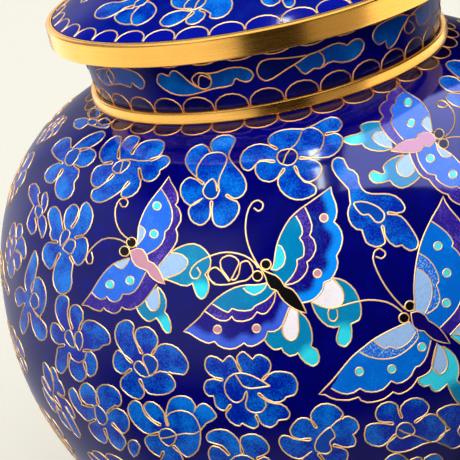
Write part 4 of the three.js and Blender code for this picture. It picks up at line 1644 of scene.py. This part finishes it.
def brass_bead():
    """The bead at the root of the neck: a low band with well rounded edges."""
    flare = (MOUTH_RADIUS - NECK_RADIUS) / (MOUTH_HEIGHT - SHOULDER_HEIGHT)
    low = (BEAD_REACH - BEAD_ROUNDING, SHOULDER_HEIGHT + BEAD_ROUNDING)
    high = (BEAD_REACH - BEAD_ROUNDING - BEAD_LEAN, SHOULDER_HEIGHT + BEAD_HEIGHT - BEAD_ROUNDING)
    outline = [
        (NECK_RADIUS + RING_GAP, SHOULDER_HEIGHT),
        (SHOULDER_RADIUS - BEAD_INSET, SHOULDER_HEIGHT),
        *rounded(low, BEAD_ROUNDING, *BEAD_LOWER_ARC),
        *rounded(high, BEAD_ROUNDING, *BEAD_UPPER_ARC),
        (NECK_RADIUS + flare * BEAD_HEIGHT + RING_GAP, SHOULDER_HEIGHT + BEAD_HEIGHT),
    ]
    return turned("brass_bead", outline, RING_SIDES, BEAD_CREASE)


FOOT_ROUNDING = 0.7
COVE_OUT = 0.9
COVE_UP = 1.2
COVE_STEPS = 10
FOOT_LINE_HEIGHTS = (1.7, 2.6)
FOOT_LINE_HALF_WIDTH = 0.14
FOOT_LINE_DEPTH = 0.18
FOOT_SIDES = 256
FOOT_CREASE = 35


def brass_foot():
    """The foot: a plain band with a hollow moulding above it, cut by two turned lines."""
    low = FOOT_RADIUS - FOOT_ROUNDING
    cove = bezier(
        (low, FOOT_BAND_HEIGHT),
        (BASE_RADIUS + COVE_OUT, FOOT_BAND_HEIGHT),
        (BASE_RADIUS, FOOT_BAND_HEIGHT + COVE_UP),
        (BASE_RADIUS, FOOT_HEIGHT),
        COVE_STEPS,
    )
    lines = []
    for height in FOOT_LINE_HEIGHTS:
        lines.append((FOOT_RADIUS, height - FOOT_LINE_HALF_WIDTH))
        lines.append((FOOT_RADIUS - FOOT_LINE_DEPTH, height))
        lines.append((FOOT_RADIUS, height + FOOT_LINE_HALF_WIDTH))
    outline = [
        (FOOT_INNER_RADIUS, 0.0),
        *rounded((low, FOOT_ROUNDING), FOOT_ROUNDING, -90, 0),
        *lines,
        *rounded((low, FOOT_BAND_HEIGHT - FOOT_ROUNDING), FOOT_ROUNDING, 0, 90),
        *cove[1:],
        (FOOT_INNER_RADIUS, FOOT_HEIGHT),
    ]
    return turned("brass_foot", outline, FOOT_SIDES, FOOT_CREASE)


# Materials


def linear(hex_colour):
    """A linear colour from an sRGB hex value."""
    parts = [int(hex_colour[i:i + 2], 16) / 255 for i in (1, 3, 5)]
    return (*[c / 12.92 if c <= 0.04045 else ((c + 0.055) / 1.055) ** 2.4 for c in parts], 1.0)


def add(tree, kind, links=None, **settings):
    """Adds a node with its settings; links gives each input a value or the output that feeds it."""
    node = tree.nodes.new(kind)
    for key, value in settings.items():
        setattr(node, key, value)
    for key, value in (links or {}).items():
        socket = node.inputs[key]
        if isinstance(value, bpy.types.NodeSocket):
            tree.links.new(value, socket)
        else:
            socket.default_value = value
    return node


def blank(name):
    material = bpy.data.materials.new(name)
    material.use_nodes = True
    tree = material.node_tree
    tree.nodes.clear()
    return material, tree


def noise(tree, place, size, detail):
    """Noise with features of a size in millimetres."""
    links = {"Vector": place, "Scale": 1 / (size * MM), "Detail": detail}
    return add(tree, "ShaderNodeTexNoise", links).outputs["Fac"]


def remapped(tree, value, low, high, start=0.0, end=1.0):
    """A value between a start and an end, moved to lie between a low and a high one."""
    links = {"Value": value, "From Min": start, "From Max": end, "To Min": low, "To Max": high}
    return add(tree, "ShaderNodeMapRange", links).outputs[0]


def blend(tree, share, first, second):
    links = {0: share, 6: linear(first), 7: linear(second)}
    return add(tree, "ShaderNodeMix", links, data_type="RGBA").outputs[2]


def bumped(tree, height, strength, depth):
    links = {"Height": height, "Strength": strength, "Distance": depth * MM}
    return add(tree, "ShaderNodeBump", links).outputs[0]


def calculated(tree, operation, *values):
    return add(tree, "ShaderNodeMath", dict(enumerate(values)), operation=operation).outputs[0]


def surface(tree, links):
    """Gives a material its shader."""
    shader = add(tree, "ShaderNodeBsdfPrincipled", links)
    add(tree, "ShaderNodeOutputMaterial", {"Surface": shader.outputs[0]})


# Vitreous enamel is opaque coloured glass, fired in the cells and polished: a clean gloss over grains that
# have not quite melted into one another, so each colour is clouded and a second colour runs through it.
GRAIN_MM = 0.42
CLOUD_MM = 6.0
WAVE_MM = 5.0
WAVE_STRENGTH = 0.12
WAVE_DEPTH_MM = 0.12
# The part of the noise that carries the colours from one to the other
NOISE_LOW = 0.3
NOISE_HIGH = 0.7
# The smoothest and the roughest grains, as shares of an enamel's roughness
SMOOTH_GRAIN = 0.7
ROUGH_GRAIN = 1.5
ENAMEL_IOR = 1.52


def enamel(name, first, second, clouding=0.5, grain=0.35, gloss=0.08):
    """Enamel of a first colour, clouded by a second; the cells' own fade brings more of the second."""
    material, tree = blank("vitreous_enamel_" + name)
    place = add(tree, "ShaderNodeTexCoord").outputs["Object"]
    clouds = noise(tree, place, CLOUD_MM, 3.0)
    grains = noise(tree, place, GRAIN_MM, 2.0)
    waves = noise(tree, place, WAVE_MM, 1.0)
    share = add(tree, "ShaderNodeAttribute", attribute_name="fade").outputs["Fac"]
    for value, weight in ((clouds, clouding), (grains, grain)):
        weighted = remapped(tree, value, -weight, weight, NOISE_LOW, NOISE_HIGH)
        share = calculated(tree, "ADD", share, weighted)
    surface(tree, {
        "Base Color": blend(tree, share, first, second),
        "Roughness": remapped(tree, grains, gloss * SMOOTH_GRAIN, gloss * ROUGH_GRAIN),
        "Normal": bumped(tree, waves, WAVE_STRENGTH, WAVE_DEPTH_MM),
        "IOR": ENAMEL_IOR,
    })
    return material


WEAR_MM = 3.0
WIRE_DULL = 0.46
WIRE_BRIGHT = 0.34


def wire_metal(name, first, second):
    """Wire with a soft polish, dulled a little where the polishing wheel missed."""
    material, tree = blank(name)
    place = add(tree, "ShaderNodeTexCoord").outputs["Object"]
    wear = noise(tree, place, WEAR_MM, 3.0)
    surface(tree, {
        "Base Color": blend(tree, wear, first, second),
        "Roughness": remapped(tree, wear, WIRE_DULL, WIRE_BRIGHT),
        "Metallic": 1.0,
    })
    return material


# Lathe-turned brass keeps fine rings from the tool, which draw its reflections out into streaks
TURNING_MM = 0.34
TURNING_DRIFT = 4.0
TURNING_STRENGTH = 0.55
TURNING_DEPTH_MM = 0.03
TARNISH_MM = 14.0
BRASS_COLOURS = ("#E8B052", "#F2C26A")
BRASS_SMOOTH = 0.18
BRASS_ROUGH = 0.36
BRASS_STREAK = 0.7
QUARTER_TURN = 0.25


def turned_brass():
    material, tree = blank("lathe_turned_brass")
    place = add(tree, "ShaderNodeTexCoord").outputs["Object"]
    x, y, z = add(tree, "ShaderNodeSeparateXYZ", {0: place}).outputs
    flat = add(tree, "ShaderNodeCombineXYZ", {0: x, 1: y}).outputs[0]
    radius = add(tree, "ShaderNodeVectorMath", {0: flat}, operation="LENGTH").outputs["Value"]
    angle = calculated(tree, "ARCTAN2", x, y)
    drift = calculated(tree, "MULTIPLY", angle, TURNING_DRIFT * TURNING_MM * MM)
    lathe = add(tree, "ShaderNodeCombineXYZ", {0: radius, 1: z, 2: drift}).outputs[0]
    lines = noise(tree, lathe, TURNING_MM, 4.0)
    tarnish = noise(tree, place, TARNISH_MM, 4.0)
    surface(tree, {
        "Base Color": blend(tree, tarnish, *BRASS_COLOURS),
        "Roughness": remapped(tree, lines, BRASS_SMOOTH, BRASS_ROUGH),
        "Normal": bumped(tree, lines, TURNING_STRENGTH, TURNING_DEPTH_MM),
        "Metallic": 1.0,
        "Anisotropic": BRASS_STREAK,
        "Anisotropic Rotation": QUARTER_TURN,
        "Tangent": add(tree, "ShaderNodeTangent", direction_type="RADIAL", axis="Z").outputs[0],
    })
    return material


# Each enamel's two colours, how strongly it is clouded and grained, and the roughness of a dull one
ENAMELS = {
    "ground": ("#020260", "#04048E", 0.4, 0.4),
    # The neck's ground is the body's ground painted lighter: painted light against the shadow of the rim.
    "ground_neck_painted_light": ("#02067C", "#04099A", 0.5, 0.5),
    "ground_lid": ("#05107E", "#062298", 0.6, 0.5),
    "counter": ("#02022A", "#04043A", 0.4, 0.3),
    "blossom": ("#00209F", "#0B7BE6", 0.5, 0.4),
    "eye": ("#023FA4", "#095BC9", 0.4, 0.4),
    "eye_deep": ("#021470", "#0430A0", 0.4, 0.2),
    "cloud": ("#0459C5", "#0F88ED", 0.5, 0.25),
    "scallop_dark": ("#020354", "#030678", 0.4, 0.3),
    "scallop_plum": ("#140634", "#1E0A3C", 0.4, 0.3),
    "scallop_royal": ("#040E90", "#061B9F", 0.5, 0.3),
    "cornflower": ("#2468E0", "#3C84F2", 0.5, 0.5),
    "violet": ("#2C1C8E", "#6E58BE", 0.5, 0.6),
    "teal": ("#0580B4", "#30DCF0", 0.12, 0.12),
    "teal_bright": ("#027AB2", "#0490C4", 0.5, 0.4),
    "cyan_teal": ("#3CDAF2", "#0780AC", 0.12, 0.2),
    "midnight": ("#12067C", "#058CFC", 0.1, 0.12),
    "dusk": ("#12067C", "#3C62E0", 0.1, 0.12),
    "azure": ("#0568D4", "#0A88F2", 0.5, 0.5),
    "indigo": ("#10065E", "#1C1084", 0.5, 0.5),
    "speckled": ("#1468D8", "#9CCCFA", 0.3, 0.9),
    "pale_blue": ("#A0C4F2", "#80B0EA", 0.5, 0.8),
    "cyan": ("#40D8EE", "#2CC4E4", 0.5, 0.4),
    "turquoise": ("#50E4EC", "#2CCCDC", 0.4, 0.4),
    "rose": ("#C690A7", "#B87A97", 0.5, 0.5),
    "white": ("#F4EEF4", "#E6DEE8", 0.5, 0.4),
    "eye_black": ("#060404", "#100A08", 0.5, 0.3, 0.4),
}
MATERIALS = {name: enamel(name, *values) for name, values in ENAMELS.items()}
MATERIALS["gilt_wire"] = wire_metal("gilt_copper_wire", "#ECBA78", "#FCDEA8")
# A darker, browner copy of the wire for the borders: painted shade standing in for the shadow and the dark
# reflections under the rim and the bead.
MATERIALS["copper_wire"] = wire_metal("bare_copper_wire", "#CC9054", "#ECB274")
MATERIALS["turned_brass"] = turned_brass()

# The urn

# Pieces by slot, so that a lamp can be kept to one kind
PIECES = {slot: bpy.data.collections.new(slot + "_pieces") for slot in ("enamel", "brass", "cell_wire")}


def mount(piece, slot):
    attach(piece, "root")
    PIECES[slot].objects.link(piece)


lay_pattern()
REPLACED = (
    (enamel_jar, "urn_body", "enamel"),
    (enamel_lid, "lid", "enamel"),
    (brass_rim, "lid_rim", "brass"),
    (brass_bead, "neck_bead", "brass"),
    (brass_foot, "foot_ring", "brass"),
)
for make, node, slot in REPLACED:
    piece = make()
    if slot == "brass":
        piece.data.materials.append(MATERIALS["turned_brass"])
    mount(piece, slot)
    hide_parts(node)
for store in sorted(WIRES):
    mount(wire_piece(store), "cell_wire")
for store in sorted(CELLS):
    mount(cell_piece(store), "enamel")

# Stage: a pale floor, soft light and the camera

FLOOR_RADIUS = 4.0
FLOOR_SIDES = 96
PAPER = "#DAD9D1"
PALE_ROOM = "#F5F2E7"


def pale_floor():
    """Matt paper, for the camera alone: to the urn, the room's light below the horizon stands for it."""
    bpy.ops.object.select_all(action="DESELECT")
    bpy.ops.mesh.primitive_circle_add(vertices=FLOOR_SIDES, radius=FLOOR_RADIUS, fill_type="NGON")
    floor = bpy.context.active_object
    floor.name = "floor"
    floor.visible_glossy = False
    floor.visible_shadow = False
    floor.visible_diffuse = False
    material, tree = blank("matt_paper")
    surface(tree, {"Base Color": linear(PAPER), "Roughness": 0.9})
    floor.data.materials.append(material)


def toward(azimuth, elevation):
    az, el = math.radians(azimuth), math.radians(elevation)
    return Vector((math.sin(az) * math.cos(el), -math.cos(az) * math.cos(el), math.sin(el)))


def soft_sun(name, slot, azimuth, elevation, width, strength, colour):
    """A wide, far lamp; one with a slot lights that slot's pieces alone and is mirrored in them."""
    data = bpy.data.lights.new(name, "SUN")
    data.energy = strength
    data.angle = math.radians(width)
    data.color = linear(colour)[:3]
    lamp = new_object(name, data)
    lamp.rotation_euler = toward(azimuth, elevation).to_track_quat("Z", "Y").to_euler()
    lamp.visible_glossy = slot is not None
    if slot:
        lamp.light_linking.receiver_collection = PIECES[slot]


# Pale walls round the urn, which the gloss mirrors: azimuths and elevations between which each one lies,
# the width of its soft edges (all in degrees), its radiance and colour
ROOM_WALLS = (
    ((-150, -15), (-24, 58), 20, 0.42, "#F4F2FF"),
    ((-178, -125), (-25, 35), 20, 0.35, "#F4F2FF"),
    ((-90, 80), (-90, -26), 25, 0.2, "#FFF4E6"),
    ((-230, -70), (-75, 12), 40, 0.45, "#F4F2FF"),
    ((95, 230), (-75, 12), 40, 0.45, "#F4F2FF"),
)


def room():
    """The world: pale to the camera, and a sum of soft-edged pale walls to everything else."""
    world = bpy.data.worlds.new("pale_room")
    bpy.context.scene.world = world
    world.use_nodes = True
    tree = world.node_tree
    tree.nodes.clear()
    way = add(tree, "ShaderNodeTexCoord").outputs["Generated"]
    x, y, z = add(tree, "ShaderNodeSeparateXYZ", {0: way}).outputs
    azimuth = calculated(tree, "ARCTAN2", x, calculated(tree, "MULTIPLY", y, -1.0))
    elevation = calculated(tree, "ARCSINE", z)
    total = add(tree, "ShaderNodeBackground", {"Strength": 0.0})
    for azimuths, elevations, edge, radiance, colour in ROOM_WALLS:
        level = radiance
        for angle, (low, high) in ((azimuth, azimuths), (elevation, elevations)):
            for start, end in ((low, low + edge), (high, high - edge)):
                links = {"Value": angle, "From Min": math.radians(start), "From Max": math.radians(end)}
                rise = add(tree, "ShaderNodeMapRange", links, interpolation_type="SMOOTHSTEP")
                level = calculated(tree, "MULTIPLY", rise.outputs[0], level)
        shine = add(tree, "ShaderNodeBackground", {"Color": linear(colour), "Strength": level})
        total = add(tree, "ShaderNodeAddShader", {0: total.outputs[0], 1: shine.outputs[0]})
    pale = add(tree, "ShaderNodeBackground", {"Color": linear(PALE_ROOM), "Strength": 1.0})
    seen = add(tree, "ShaderNodeLightPath").outputs["Is Camera Ray"]
    mixed = add(tree, "ShaderNodeMixShader", {0: seen, 1: total.outputs[0], 2: pale.outputs[0]})
    add(tree, "ShaderNodeOutputWorld", {"Surface": mixed.outputs[0]})


def softbox(name, slot, corner, along, across, radiance, colour):
    """A shining card that one slot's gloss mirrors, given by one corner and its two sides, in metres."""
    corner, along, across = Vector(corner), Vector(along), Vector(across)
    data = bpy.data.lights.new(name, "AREA")
    data.shape = "RECTANGLE"
    data.size = along.length
    data.size_y = across.length
    data.energy = radiance * math.pi * along.length * across.length
    data.color = linear(colour)[:3]
    lamp = new_object(name, data)
    x, y = along.normalized(), -across.normalized()
    lamp.matrix_world = Matrix.Translation(corner + along / 2 + across / 2) @ Matrix(
        (x, y, x.cross(y))
    ).transposed().to_4x4()
    lamp.visible_diffuse = False
    lamp.light_linking.receiver_collection = PIECES[slot]


# Suns: name, slot, azimuth, elevation, width (in degrees), strength and colour
SUNS = (
    ("key", None, -35, 55, 40, 3.0, "#FFFAF0"),
    ("fill", None, 40, 50, 50, 1.25, "#F6F8FF"),
    ("low", None, 5, 10, 60, 0.4, "#FFFFFF"),
    ("back", None, 170, 45, 50, 1.0, "#FFFFFF"),
    ("wire_key", "cell_wire", -30, 54, 70, 3.5, "#FFFAF0"),
    ("wire_fill", "cell_wire", 50, 40, 70, 1.5, "#FFFAF0"),
    ("wire_bounce", "cell_wire", -15, -20, 90, 1.3, "#FFF6E8"),
    ("wire_back", "cell_wire", 175, 50, 70, 1.2, "#FFFAF0"),
)
# Cards: name, slot, corner, the two sides, radiance and colour
CARDS = (
    (
        "window", "enamel",
        (0.26, -0.495, 1.16), (0.032, 0.87, 0.301), (0.243, 0.241, -0.701), 5.2, "#B6BCFF",
    ),
    ("strip_far", "enamel", (0.094, -0.03, 1.16), (-0.03, 0.42, 0), (0.036, 0.003, 0), 26, "#F0F8FF"),
    ("strip_near", "enamel", (0.132, -0.42, 1.16), (-0.027, 0.3, 0), (0.036, 0.002, 0), 18, "#F0F8FF"),
    ("left_wall", "brass", (-0.8, -3.4, -1.2), (0, 5.0, 0), (0, 0, 1.4), 1.2, "#FFF2DC"),
    ("right_wall", "brass", (1.2, 1.6, -1.2), (0, -2.4, 0), (0, 0, 1.4), 1.9, "#FFF2DC"),
    ("right_dim_wall", "brass", (1.2, -0.8, -1.2), (0, -2.2, 0), (0, 0, 1.4), 0.55, "#FFE8C8"),
    ("front_wall", "brass", (1.2, -3.2, -1.4), (-2.0, 0, 0), (0, 0, 1.4), 0.03, "#FFCB61"),
    ("ceiling", "brass", (-1.2, -1.4, 1.6), (0, 2.4, 0), (2.4, 0, 0), 1.9, "#FFF2DC"),
    ("back_wall", "brass", (-1.5, 1.6, 0.25), (3.0, 0, 0), (0, 0, 1.2), 1.1, "#FFF2DC"),
)


def lighting():
    room()
    for sun in SUNS:
        soft_sun(*sun)
    for card in CARDS:
        softbox(*card)


CLIP_START = 0.01


def camera():
    data = bpy.data.cameras.new("camera")
    data.sensor_width = SENSOR
    data.lens = FOCAL_PIXELS * SENSOR / PHOTO_SIDE
    data.clip_start = CLIP_START
    cam = new_object("camera", data)
    axes = Matrix((RIGHT, UP, -FORWARD)).transposed()
    cam.matrix_world = Matrix.Translation(CAMERA_PLACE * MM) @ axes.to_4x4()
    bpy.context.scene.camera = cam


pale_floor()
lighting()
camera()
bpy.context.scene.view_settings.view_transform = "Standard"
